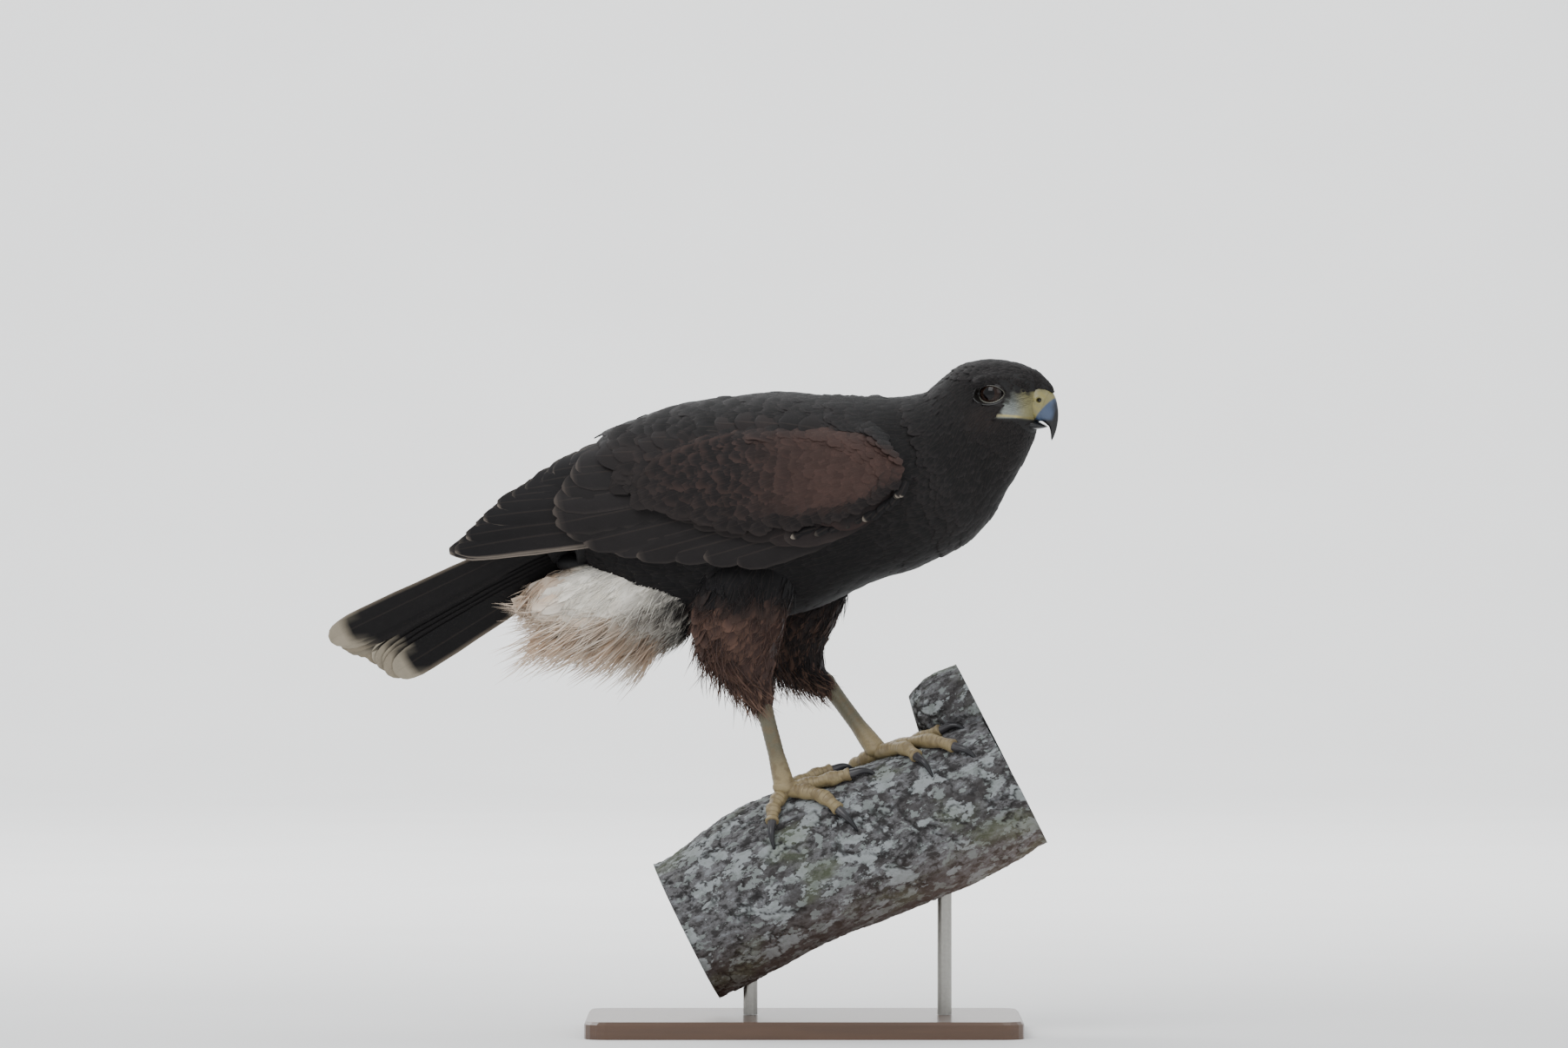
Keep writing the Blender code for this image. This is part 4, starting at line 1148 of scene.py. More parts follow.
# Tiers of wing feathers: count, curve of the roots, curve of the tips, half width, height of the roots and
# tips over the wing's surface, slope across each vane, outline, paint and bend.
WING_TIERS = [
    (19, [(-30, 393), (-16, 371), (-8, 347)],
     [(-84, 394), (-112, 379), (-140, 360), (-169, 331)],
     11.2, (-6.8, -4.6), 0.05, "primary", paint_primary, -4.5),
    (13, [(0, 400), (30, 390), (58, 378), (86, 366), (111, 356)],
     [(-81, 390), (-96, 367), (-89, 344), (-40, 331), (24, 327)],
     12.5, (-5, 0.4), 0.10, "secondary", paint_secondary, 1.0),
    (12, [(24, 406), (60, 395), (95, 380), (124, 362)],
     [(-39, 397), (-34, 373), (4, 350), (62, 340)],
     11.5, (-4, 2.0), 0.10, "covert", paint_greater, 0.6),
    (10, [(62, 409), (100, 396), (134, 376)],
     [(6, 402), (32, 367), (92, 351)],
     11.5, (-3, 3.2), 0.10, "covert", paint_median, 0.0),
    (14, [(145, 380), (138, 370), (118, 358), (84, 349)],
     [(140, 371), (128, 360), (105, 350), (66, 341)],
     3.0, (-1.5, 3.2), 0.05, "covert", paint_front, 0.0),
    # The scapulars over the folded wing.
    (9, [(112, 404), (80, 409), (45, 408), (6, 400)],
     [(48, 411), (10, 414), (-28, 408), (-67, 397)],
     12, (-3, 4.4), 0.0, "covert", paint_scapular, 0.0),
    (9, [(122, 410), (90, 416), (55, 416), (20, 409)],
     [(70, 419), (32, 422), (-4, 417), (-40, 407)],
     11, (-3, 5.0), 0.0, "covert", paint_scapular, 0.0),
]
# Rows of coverts over the tail's root: count, roots, tips, half width, height of the roots and tips.
TAIL_COVERTS = [
    (7, [(4, -14), (0, 0), (4, 14)], [(74, -17), (84, 0), (74, 17)], 9, (2.0, 3.0)),
    (7, [(-14, -16), (-18, 0), (-14, 16)], [(48, -20), (58, 0), (48, 20)], 9.5, (3.4, 4.2)),
    (7, [(-26, -16), (-30, 0), (-26, 16)], [(22, -22), (32, 0), (22, 22)], 10, (4.4, 5.4)),
]


def wing_pieces(material):
    for name, side in SIDES.items():
        feathers = []
        for k, row in enumerate(WING_TIERS):
            feathers += row_of(wing_chart(side), row, 5 + 31 * k)
        feather_piece("wing_feathers_" + name, feathers, material, ["wing_" + name])


def tail_piece(material):
    """Twelve tail feathers, each pair under the one nearer the middle, and the coverts over their roots."""
    feathers = []
    draw = np.random.default_rng(3)
    for pair in range(5, -1, -1):
        for side in (1, -1):
            layer = -0.95 * pair + 0.45 * side
            off = side * (3 + (RECTRIX_STEP + 0.7 * side) * pair)
            tip = (TAIL_LENGTH + TAIL_SKEW * min(off, 22) + draw.normal(0, 0.8), off + 7)
            root = (24, side * (2 + 2.2 * pair) + 3)
            laid = (RECTRIX_HALF_WIDTH, (layer, layer), 0.0, "tail", 40 + pair)
            shape = large_feather(tail_chart, root, tip, *laid)
            colour = paint_rectrix(pair / 5, shape[2], -side * shape[3], shape[0], draw.uniform(-1, 1))
            feathers.append((shape, colour, draw.uniform(0, 1)))
    for k, row in enumerate(TAIL_COVERTS):
        feathers += row_of(tail_chart, row + (0.0, "covert", paint_scapular, 0.0), 300 + k)
    feather_piece("tail_feathers", feathers, material, ["tail"])


def wing_outline(count):
    """The folded wing's outline in the side view, and its middle."""
    outline = curve(WING_OUTLINE + WING_OUTLINE[:1], np.linspace(0, len(WING_OUTLINE), count))[:-1]
    return outline, outline.mean(0)


def wing_share(x, z):
    """How far out a place of the side view lies in the folded wing's outline, 1 at the outline."""
    outline, middle = wing_outline(120)
    off = outline - middle
    angle = np.arctan2(off[:, 1], off[:, 0])
    order = np.argsort(angle)
    here = np.arctan2(z - middle[1], x - middle[0])
    edge = np.interp(here, angle[order], np.hypot(off[:, 1], off[:, 0])[order], period=2 * np.pi)
    return np.hypot(x - middle[0], z - middle[1]) / edge


def body_colour(place):
    """The plumage's colour at places of the body, without the wings, darker towards the bottom as painted
    shade of the underside.
    """
    x, _, z = axes(place)
    colour = mix(SOOT, BELLY, ease((370 - z) / 60))
    colour = mix(colour, CROWN, ease((x - 150) / 30) * ease((z - 425) / 20))
    return mix(colour, CHEEK, 0.7 * dome(off_head(place), (214, 426), (12, 8)))


def body_rim(place):
    """The slightly paler rims of the body's feathers, darker towards the bottom as painted shade of the
    underside.
    """
    low = ease((370 - place[..., 2]) / 60)
    return mix(SOOT_EDGE, BELLY_EDGE, low)


def lores_share(head):
    """How bare the face is at places of the straight head: the lores and the ring round the eye."""
    x, y, z = axes(head)
    wave = 0.9 * np.sin(x * 1.1) + 0.8 * np.sin(x * 0.47 + z * 1.3)
    rear = (x - 218.5 - 0.5 * (z - 426) + wave) / 5.0
    top = (444.0 - 0.12 * np.abs(x - 226) - z + wave) / 3.6
    bare = ease(rear) * ease(top) * ease((z - 423.0) / 1.5)
    ring = 1 - ease((eye_distance(head) - 1.16) / 0.12)
    gape = bump_along(head, GAPE, 1.0) * (x > 212)
    return np.clip(np.maximum(np.maximum(bare, ring), gape), 0, 1) * (np.abs(y) > 4)


def skin_colour(place):
    """The skin's colour: the plumage's, and the bare lores, eye ring and gape of the face."""
    head = off_head(place)
    x, y, z = axes(head)
    on_face = (x > 200) & (z > 415)
    bare = lores_share(head) * on_face
    lores = mix(LORES, srgb(66, 67, 62), 0.85 * ease((z - 431) / 9))
    soft = 0.5 + 0.5 * np.sin(x * 1.7 + z * 0.9) * np.sin(z * 2.1 - x * 0.6)
    lores = mix(lores, srgb(84, 82, 74), 0.35 * soft)
    lores = mix(lores, CERE_YELLOW, 0.9 * ease((x - 229) / 10))
    colour = mix(body_colour(place), lores, 0.95 * bare)
    ring = ease((eye_distance(head) - 1.0) / 0.1) * (1 - ease((eye_distance(head) - 1.3) / 0.15))
    colour = mix(colour, srgb(20, 18, 18), 0.9 * ring * on_face)
    colour = mix(colour, srgb(40, 36, 32), ease((GAPE[0][2] - 1.0 - z) / 1.2) * bare)
    yellow = mix(srgb(146, 144, 132), srgb(182, 166, 98), ease((x - 215) / 8))
    yellow = mix(yellow, srgb(118, 108, 66), ease((x - 230) / 6))
    gape = bump_along(head, GAPE, 0.7) * on_face * (np.abs(y) > 4) * (0.85 + 0.15 * np.sin(x * 0.9))
    return mix(colour, yellow, gape * ease((x - 207) / 5))


def fit_shape(name, shapes):
    """Several closed shapes joined into one closed skin."""
    skin = add_object(name, bare_mesh(name, *shapes[0]))
    parts = bpy.data.collections.new(name + "_parts")
    bpy.context.scene.collection.children.link(parts)
    for k, shape in enumerate(shapes[1:]):
        parts.objects.link(bpy.data.objects.new(f"{name}_{k}", bare_mesh(f"{name}_{k}", *shape)))
    join = skin.modifiers.new("join", "BOOLEAN")
    join.operation = "UNION"
    join.operand_type = "COLLECTION"
    join.collection = parts
    join.solver = "MANIFOLD"
    plain_mesh(skin)
    for part in list(parts.objects):
        bpy.data.objects.remove(part)
    bpy.data.collections.remove(parts)
    return skin


def points_of(mesh):
    """A mesh's points in the drawing frame."""
    flat = np.empty(len(mesh.vertices) * 3, np.float32)
    mesh.vertices.foreach_get("co", flat)
    return (flat.reshape(-1, 3).astype(float) - SHIFT) / MM


def ball_rings(middle, radii, around=48, count=24):
    tilt = np.linspace(0, np.pi, count + 2)[1:-1, None]
    turn = np.linspace(0, 2 * np.pi, around, endpoint=False)
    ring = [np.sin(tilt) * np.cos(turn), np.sin(tilt) * np.sin(turn), np.cos(tilt) + 0 * turn]
    return np.asarray(middle, float) + np.stack(ring, -1) * np.asarray(radii, float)


def wing_core(side):
    """The wing under its feathers: rings from the middle of its face out, and back in at its depth."""
    outline, middle = wing_outline(90)
    levels = [(0.1, -3.2), (0.3, -3.2), (0.5, -3.3), (0.7, -3.6), (0.85, -4.6), (0.94, -7.0)]
    rings = []
    for share, lift in levels + [(0.94, -WING_DEPTH - 2.0)]:
        spots = middle + (outline - middle) * share
        rings.append(wing_chart(side)(spots[:, 0], spots[:, 1], np.full(len(spots), lift)))
    return np.array(rings)


def thigh_rings(name, count, sides, grow=0.0):
    rows = curve_through(THIGHS[name], count)
    angle = np.linspace(0, 2 * np.pi, sides, endpoint=False)
    x = rows[:, :1] + (rows[:, 2:3] + grow) * np.cos(angle)
    y = SIDES[name] * rows[:, 4:5] + (rows[:, 3:4] + grow) * np.sin(angle)
    return np.stack([x, y, rows[:, 1:2] + 0 * x], -1)


def tail_core_rings():
    """The flesh at the tail's root: place along the tail, half width and half height."""
    rows = curve_through([(-12, 14, 9), (12, 15, 7), (34, 13, 4.5), (52, 9, 2.5)], 13)
    angle = np.linspace(0, 2 * np.pi, 40, endpoint=False)
    a = rows[:, :1] + 0 * angle
    return tail_chart(a, rows[:, 1:2] * np.cos(angle), rows[:, 2:3] * np.sin(angle) - 2)


def back_rings(t, sides, grow=0.0):
    """The body's rings with the back raised to the level of the folded wings."""
    level = sections(curve(WING_GUIDE, np.clip(t + 2, 0, len(WING_GUIDE) - 1)), sides, grow)
    share = (ease((t - 0.5) / 1.0) * (1 - ease((t - 5.6) / 2.2)))[:, None, None]
    return body_rings(t, sides, grow) * (1 - share) + level * share


def back_core():
    """The body between the folded wings, up to their level."""
    t = np.linspace(0.2, 7.6, 60)
    share = ease((t - 0.5) / 1.0) * (1 - ease((t - 5.4) / 2.0))
    rows = curve(WING_GUIDE, t + 2)
    body = curve(BODY, t)
    top = body[:, :2] * (1 - share[:, None]) + rows[:, :2] * share[:, None]
    bottom = top + (rows[:, 2:4] - rows[:, :2]) * 0.5
    return sections(np.column_stack([top, bottom, 33 - 9 * (1 - share)]), 80, -3.8)


def skin_piece(material):
    """The one skin under the coat."""
    t = np.linspace(0, HEAD_END, 230)
    inset = -2.6 + 1.9 * ease((t - NECK_END) / 2.5)
    shapes = [body_rings(t, 160, inset, 1.0), back_core(), forehead_rings(-0.7, 48, 24)]
    for name, side in SIDES.items():
        shapes += [wing_core(side), thigh_rings(name, 60, 64, -2.0)]
    shapes += [sections(curve_through(UNDERTAIL, 40), 72, -3.5), tail_core_rings()]
    shapes.append(ball_rings(RUMP, RUMP_RADII, 40, 24))
    skin = fit_shape("skin", [outward(rings) for rings in shapes])
    places = points_of(skin.data)
    x, _, z = axes(places)
    rows = np.array(UNDERTAIL)[::-1]
    top = np.interp(x, rows[:, 0], rows[:, 1])
    puff = ease((-20 - x) / 14) * ease((x + 116) / 6) * ease((top - 1 - z) / 3)
    tint_mesh(skin.data, mix(skin_colour(places), undertail_colour(places), 0.9 * puff))
    skin.data.shade_smooth()
    replaced = ["torso", "neck", "head", "undertail", "thigh_right", "thigh_left"]
    return finish_piece(skin, material, replaced)


def body_coat(name, rings, length, share, cover, laid, settings, flow=None):
    """Small feathers that lie back along the body, or as flow says."""
    flow = -np.gradient(rings, axis=0) if flow is None else flow
    colours = (body_colour(rings), body_rim(rings))
    lie = (flow, length, length * share)
    return lay_coat(name, rings, lie, colours, cover, laid, settings)


def torso_coat(name, laid, seed, upper):
    """The upper or the lower half of the torso's coat, left out where the folded wings hide it."""
    t = np.linspace(0, TORSO_END, 90)
    rings = back_rings(t, 120, -0.8) if upper else body_rings(t, 120, -1.0)
    x, y, z = axes(rings)
    hidden = 1 - ease((wing_share(x, z) - 0.82) / 0.08)
    cover = 1.0 - hidden * (np.abs(y) > 26)
    above = z > rings.mean(1, keepdims=True)[..., 2]
    if upper:
        between = np.abs(y) < 30 + 12 * ease((x - 84) / 20)
        cover = cover * (between | (t[:, None] > 7.0)) * above
    else:
        cover = cover * ~above
    length = 15 + 5 * ease((140 - x) / 80) - 3.0 * ease((x - 150) / 30)
    return body_coat(name, rings, length, 0.62, cover, laid, (3.6, 1.6, 0.22, seed, 0.15))


def neck_coat(laid):
    t = np.linspace(TORSO_END - 0.3, NECK_END + 0.6, 70)
    length = np.interp(t, [7.7, 9.5, 11.6], [14.5, 12.5, 10.5])[:, None]
    rings = body_rings(t, 120, -1.0)
    return body_coat("coat_neck", rings, length, 0.56, 1.0, laid, (2.5, 1.4, 0.25, 4, 0.15))


def head_coat(laid):
    """The head's coat, left out over the eyes, the bare lores, the mouth and the bill's root."""
    rings = body_rings(np.linspace(NECK_END, HEAD_END - 0.05, 110), 150, -0.5)
    head = off_head(rings)
    x, y, z = axes(head)
    near_eye = np.exp(-(((eye_distance(head) - 1.6) / 0.9) ** 2))
    length = 10.0 - 5.0 * ease((x - 205) / 28) - 1.6 * near_eye
    length = np.clip(length + 1.5 * ease((z - 452) / 8), 2.8, 11)
    mouth = (x > 219) & (np.abs(z - 425) < 2.6) & (np.abs(y) > 4)
    bill_room = (x > 238.2) & (z < 441) & (z > 415)
    bare = mouth | bill_room
    for share in (0.5, 0.95):
        bare |= eye_distance(head - (length * share)[..., None] * (1, 0, 0)) < 1.16
    cover = np.where(bare, 0, 1 - ease(lores_share(head) * 1.5))
    return body_coat("coat_head", rings, length, 0.5, cover, laid, (1.75, 0.9, 0.22, 5, 0.15))


def forehead_rings(grow, around, count):
    """The forehead, which slopes down over the root of the bill."""
    rings = ball_rings((239, 0, 0), (14 + grow, 9.0 + grow, 7.4 + grow), around, count)
    rise = rings[..., 2]
    rings[..., 1] *= 1 - 0.3 * ease((rings[..., 0] - 240) / 12)
    rings[..., 2] = forehead_edge(rings) + np.where(rise < 0, 0.2 * rise, rise)
    return on_head(rings)


def forehead_edge(head):
    """Height of the feathers' lower edge, which falls along the root of the bill."""
    return 448.3 - 0.62 * np.clip(head[..., 0] - 241, 0, None) - 0.035 * head[..., 1] ** 2


def forehead_coat(laid):
    rings = forehead_rings(-0.3, 80, 50)
    head = off_head(rings)
    back = np.broadcast_to(HEAD_PLACE[:3, :3] @ np.array((-1.0, 0, 0.35)), rings.shape)
    normal = surface_normals(rings)
    flow = back - normal * np.einsum("ijk,ijk->ij", back, normal)[..., None] + 1e-4
    cover = (head[..., 2] > forehead_edge(head) - 0.4) * (head[..., 0] > 233) * 1.0
    length = 3.4 + 2.6 * ease((250 - head[..., 0]) / 12)
    return body_coat("coat_forehead", rings, length, 0.5, cover, laid, (1.15, 0.8, 0.3, 6, 0.15), flow)


def bristle_coat(laid):
    rings = body_rings(np.linspace(NECK_END + 2, HEAD_END - 0.05, 60), 120, -0.4)
    x, y, z = axes(off_head(rings))
    cover = (np.hypot((x - 229.5) / 10, (z - 436) / 7) < 1) * (np.abs(y) > 4) * 1.0
    ahead = HEAD_PLACE[:3, :3] @ np.array((0.9, 0, 0.2))
    side = np.sign(off_head(rings)[..., 1:2]) * (HEAD_PLACE[:3, :3] @ np.array((0, -0.25, 0)))
    lie = (np.broadcast_to(ahead, rings.shape) + side, 4.2, 3.0)
    dark = srgb(40, 36, 34)
    settings = (1.25, 0.2, 0.45, 7, 0.35)
    lay_coat("coat_bristles", rings, lie, (dark, dark), cover, laid, settings)


# Lines of the side view: where the mantle starts, its ridge, and the lower end of the small feathers.
MANTLE_LINE = [(-80, 402), (-60, 407), (-12, 413), (96, 417), (126, 411), (144, 396), (150, 384)]
RIDGE = [
    (-92, 392), (-84, 393), (-66, 404), (-42, 414), (-24, 423), (0, 431), (30, 438.5), (66, 441), (147, 442),
]
PATCH_LINE = [(-40, 384), (-10, 366), (42, 353), (80, 355), (108, 360), (130, 369), (147, 382)]
# The undertail's layers: growth of the surface, droop, length, width for the length, and spacing.
UNDERTAIL_LAYERS = {
    "down": (-1.2, -0.45, 1.0, 0.55, 3.5),
    "wisps": (0.0, -0.6, 1.2, 0.6, 3.5),
    "locks": (0.0, -0.95, 1.9, 0.5, 9.5),
}


def wing_coat(name, side, laid):
    """The small feathers over the wing's front and shoulder, and the mantle above them."""
    x, z = np.meshgrid(np.linspace(-62, 149, 150), np.linspace(344, 440, 80), indexing="ij")
    lines = (MANTLE_LINE, RIDGE, PATCH_LINE)
    mantle_line, ridge, patch_line = (np.interp(x, *np.array(line).T) for line in lines)
    share = wing_share(x, z)
    above = ease((z - mantle_line + 2) / 5)
    lift = 3.4 * (1 - ease((share - 0.8) / 0.25)) + 1.2
    lift = lift - 9.5 * ease((z - mantle_line + 4) / 16) * ease((x - 96) / 40)
    rings = wing_chart(side)(x, z, lift)
    along = np.gradient(rings, axis=0) / np.gradient(x, axis=0)[..., None]
    upward = np.gradient(rings, axis=1) / np.gradient(z, axis=1)[..., None]
    slant = -0.34 + 0.24 * ease((z - 380) / 30)
    flow = -unit(along) + slant[..., None] * unit(upward)
    length = np.interp(x, [-40, 20, 90, 145], [21, 18, 13, 9.5]) + 2 * above
    solid = ease((x - 30) / 70) * ease((z - patch_line - 2) / 8)
    centre = mix(srgb(24, 20, 20), mix(RUFOUS, RUFOUS_DARK, 0.35), solid)
    rear = 1 - ease((14 - x) / 46) * 0.85
    inner = 0.15 + 0.85 * ease((z - patch_line - 4) / 15)
    rim = mix(srgb(33, 29, 28), RUFOUS, (0.5 + 0.4 * solid) * rear * inner)
    colours = (mix(centre, SOOT, above), mix(rim, SOOT_EDGE, above))
    inside = 1 - ease((share - 1.0) / 0.04)
    cover = np.maximum(inside * (z > patch_line) * (x < 143.5), above * (x < 136) * (z < ridge - 3) * 1.0)
    lie = (flow, length, length * 0.72)
    settings = (3.1, 1.0, 0.16, 12, 0.15)
    return lay_coat("coat_wing_" + name, rings, lie, colours, cover, laid, settings, False)


def thigh_coat(name, laid, layer):
    """Soft feathers down the thigh, and fine wisps over them that hang furthest at the back."""
    grow, width, top, spacing = {"down": (-0.6, 0.62, 352, 3.2), "wisps": (0.2, 0.8, 322, 3.6)}[layer]
    rings = thigh_rings(name, 70, 90, grow)
    x, _, z = axes(rings)
    flow = unit(np.gradient(rings, axis=0)) + np.array((-0.3, 0, -0.1))
    t = np.linspace(-1, 6, 70)[:, None]
    length = np.interp(t, [-1, 0, 2, 4, 5.2, 6], [19, 18, 16, 15, 12, 7]) + 0 * x
    rear = ease((rings.mean(1, keepdims=True)[..., 0] - x + 6) / 18)
    if layer == "wisps":
        length = length * (1.15 + 0.65 * rear * ease((t - 1.5) / 2))
    # The left thigh takes a darker copy of the rufous: painted shade of the far side.
    base = THIGH_RUFOUS if name == "right" else THIGH_RUFOUS_SHADED
    tint = mix(base, srgb(38, 28, 26), 0.45 * (0.5 + 0.5 * np.sin(x * 0.21 + 1.3) * np.sin(z * 0.17)))
    blend = ease((z - 292 + 4 * np.sin(x * 0.4)) / 24)
    tint = mix(tint, BELLY, blend)
    rim = mix(tint, srgb(112, 84, 70), 0.35)
    rim = mix(rim, srgb(140, 112, 94), 0.4 * rear * ease((t - 3) / 1.5))
    colours = (tint, mix(rim, BELLY_EDGE, blend))
    cover = ease((top - z) / 8) * (t < 5.75)
    lie = (flow, length, length * width)
    settings = (spacing, 1.2, 0.3, 8, 0.3)
    name = f"coat_thigh_{name}_{layer}"
    return lay_coat(name, rings, lie, colours, cover, laid, settings)


def undertail_colour(place):
    x, _, z = axes(place)
    # Buff towards the bottom and the rear: partly the puff's buff tint and partly painted shade at its lower
    # and rear edges.
    buff_and_shade = np.clip(ease((302 - z) / 22) + ease((-74 - x) / 22), 0, 1)
    tint = mix(CREAM, BUFF, 0.75 * buff_and_shade)
    tint = mix(tint, BLOTCH, 0.9 * dome(place, (-20, 292), (18, 14)))
    tint = mix(tint, BELLY, ease((x + 22) / 16))
    return mix(tint, BLOTCH, 0.5 * ease((np.sin(x * 0.62 + z * 0.35) - 0.86) / 0.1))


def undertail_coat(laid, layer):
    """The pale puff under the tail: soft feathers, loose wisps over them and long locks below."""
    grow, droop, long, share, spacing = UNDERTAIL_LAYERS[layer]
    rings = sections(curve_through(UNDERTAIL, 90), 110, grow)
    flow = unit(np.gradient(rings, axis=0)) + np.array((0.05, 0, droop))
    t = np.linspace(0, 4, 90)[:, None]
    length = long * (20 + 5 * ease((t - 1.4) / 1.6)) + 0 * rings[..., 0]
    tint = undertail_colour(rings)
    below = rings.mean(1, keepdims=True)[..., 2] - rings[..., 2]
    cover = ease((below - 6) / 6) * ease((t - 0.5) / 0.3) if layer == "locks" else 1.0
    colours = (tint, mix(tint, srgb(232, 226, 214), 0.35))
    lie = (flow, length, length * share)
    settings = (spacing, 2.0, 0.3, 9, 0.25)
    name = "coat_undertail_" + layer
    return lay_coat(name, rings, lie, colours, cover, laid, settings)


# Eyes, lids, bill and cere.


def eye_piece(name, side, material):
    """The whole ball with a clear bulge in front, and each point's angle off the line of sight."""
    tilt = np.concatenate([np.linspace(1, 64, 40), np.linspace(70, 178, 18)])
    turn = np.linspace(0, 2 * np.pi, 72, endpoint=False)
    radius = EYE_RADIUS * (1 + 0.035 * np.exp(-((tilt / 34) ** 4)))
    out = (radius * np.cos(np.radians(tilt)))[:, None] + 0 * turn
    wide = (radius * np.sin(np.radians(tilt)))[:, None]
    rings = np.stack([wide * np.cos(turn), side * out, wide * np.sin(turn)], -1)
    gaze = np.concatenate([np.repeat(tilt, len(turn)), [0, 180]])
    shape = closed_tube(on_head(rings + EYE * (1, side, 1)))
    return piece("eye_globe_" + name, shape, material, "eye", ["eye_" + name], values={"gaze": gaze})


def head_tree():
    return ray_tree(*closed_tube(body_straight(np.linspace(NECK_END - 1, HEAD_END, 120), 120, -0.7)))


def lid_piece(name, side, tree, material):
    """The rim of bare skin round the eye, from its edge on the ball out to the face and back behind it."""
    turn = np.linspace(0, 2 * np.pi, 96, endpoint=False)
    upper = ease((np.sin(turn) + 0.1) / 0.7)
    rings = []
    for share, height in LID_PROFILE:
        x = share * EYE_OPENING[0] * np.cos(turn)
        z = share * EYE_OPENING[1] * np.sign(np.sin(turn)) * np.abs(np.sin(turn)) ** 1.12 * (1 - 0.1 * upper)
        flat = np.minimum(x * x + z * z, (EYE_RADIUS * 0.985) ** 2)
        ball = EYE[1] + np.sqrt(EYE_RADIUS**2 - flat)
        starts = [Vector((EYE[0] + a, 60, EYE[2] + b)) for a, b in zip(x, z)]
        hits = [tree.ray_cast(start, Vector((0, -1, 0)))[0] for start in starts]
        face = np.array([hit.y if hit else 17 for hit in hits])
        out = ease((share - 1.06) / 0.3)
        y = ball * (1 - out) + face * out + height + 0.35 * upper * (share < 1.2)
        rings.append(on_head(np.stack([EYE[0] + x, side * y, EYE[2] + z], -1)))
    rows, columns = len(rings), len(turn)
    faces = [grid_faces(rows + 1, columns) % (rows * columns)]
    share = np.repeat([share for share, _ in LID_PROFILE], columns)
    tint = mix(srgb(24, 22, 21), srgb(128, 127, 117), 1 - ease((share - 1.06) / 0.06))
    # The upper half of the lid is darkened: painted shade under the brow.
    tint = mix(tint, srgb(30, 26, 25), 0.5 * np.tile(upper, rows))
    tint = mix(tint, srgb(30, 26, 26), 1 - ease((share - 1.005) / 0.02))
    shape = (np.array(rings).reshape(-1, 3), faces)
    return piece("lids_" + name, shape, material, "sooty_feather", tint=tint)


def bill_colour(t, straight):
    """Blue-grey by the cere, black at the front edge and the hook."""
    black = np.maximum(ease((t - 3.9) / 1.2), ease((424.2 - straight[..., 2]) / 3.0) * (t > 2.6))
    front = ease(((straight - straight.mean(1, keepdims=True))[..., 0] - 0.8) / 3)
    dark = np.clip(black + 0.85 * front * ease((t - 2.9) / 0.9), 0, 1)
    return mix(mix(BILL_BLUE, srgb(14, 14, 16), dark), CERE_YELLOW, cere_share(straight))


def cere_share(straight):
    """1 above the slanting line where the cere's yellow meets the blue horn, 0 below it."""
    line = (straight[..., 2] - 424.2) - 1.05 * (straight[..., 0] - 240.6)
    return ease((line + 0.7) / 1.4)


def cere_piece(material):
    t = np.linspace(0, CERE_END, 70)
    rings = sections(curve(BILL, t), 120, 0.0, 0.9)
    swell = 0.5 * np.sin(np.pi * np.clip((t - 0.3) / 2.05, 0, 1)) ** 0.7
    middle = rings.mean(1, keepdims=True)
    rings = middle + (rings - middle) * (1 + swell / 9)[:, None, None]
    for side in SIDES.values():
        near = np.linalg.norm((rings - NOSTRIL * (1, side, 1)) * (1, 0.5, 1.1), axis=-1)
        rim = 0.55 * np.exp(-(((near - 2.5) / 0.8) ** 2))
        pit = -2.6 * (1 - ease((near - 1.2) / 0.9))
        rings[..., 1] += side * (rim + pit) * (np.sign(rings[..., 1]) == side)
    gaps = [(rings - NOSTRIL * (1, side, 1)) * (1, 0.35, 1.1) for side in SIDES.values()]
    near = np.minimum(*[np.linalg.norm(gap, axis=-1) for gap in gaps])
    tint = mix(CERE_YELLOW, srgb(132, 124, 74), 0.5 + 0.5 * np.sin(rings[..., 0] * 0.9 + rings[..., 2]))
    tint = mix(tint, srgb(100, 96, 62), ease((rings[..., 2] - 440) / 4))
    tint = mix(tint, BILL_BLUE, 1 - cere_share(rings))
    # The nostrils' pits are painted dark: painted shade inside them.
    tint = mix(tint, srgb(26, 22, 20), 1 - ease((near - 1.25) / 0.65))
    shape = closed_tube(on_head(rings))
    return piece("cere_skin", shape, material, "yellow_skin", ["cere"], tint=with_poles(tint))


def bill_piece(name, rows, start, node, material):
    t = np.linspace(start, len(rows) - 1, 110)
    rings = sections(curve(rows, t), 96, -0.25, 0.9)
    tip = 1 - 0.9 * ease((t - (len(rows) - 1.35)) / 0.35)
    middle = rings.mean(1, keepdims=True)
    rings = middle + (rings - middle) * tip[:, None, None]
    tint = bill_colour(t[:, None] + 0 * rings[..., 0], rings)
    if node == "bill_lower":
        tint = mix(srgb(20, 20, 21), srgb(11, 11, 12), ease((t - 2.2) / 1.4))[:, None, :] + 0 * rings
    shape = closed_tube(on_head(rings))
    return piece(name, shape, material, "blue_horn", [node], tint=with_poles(tint))


# Legs, claws and the log.


def coarse_log():
    """The log's plain shape, on which the feet stand."""
    return ray_tree(*joined([outward(log_rings(np.linspace(0, 5, 40), 64)), outward(knob_rings(24, 40))]))


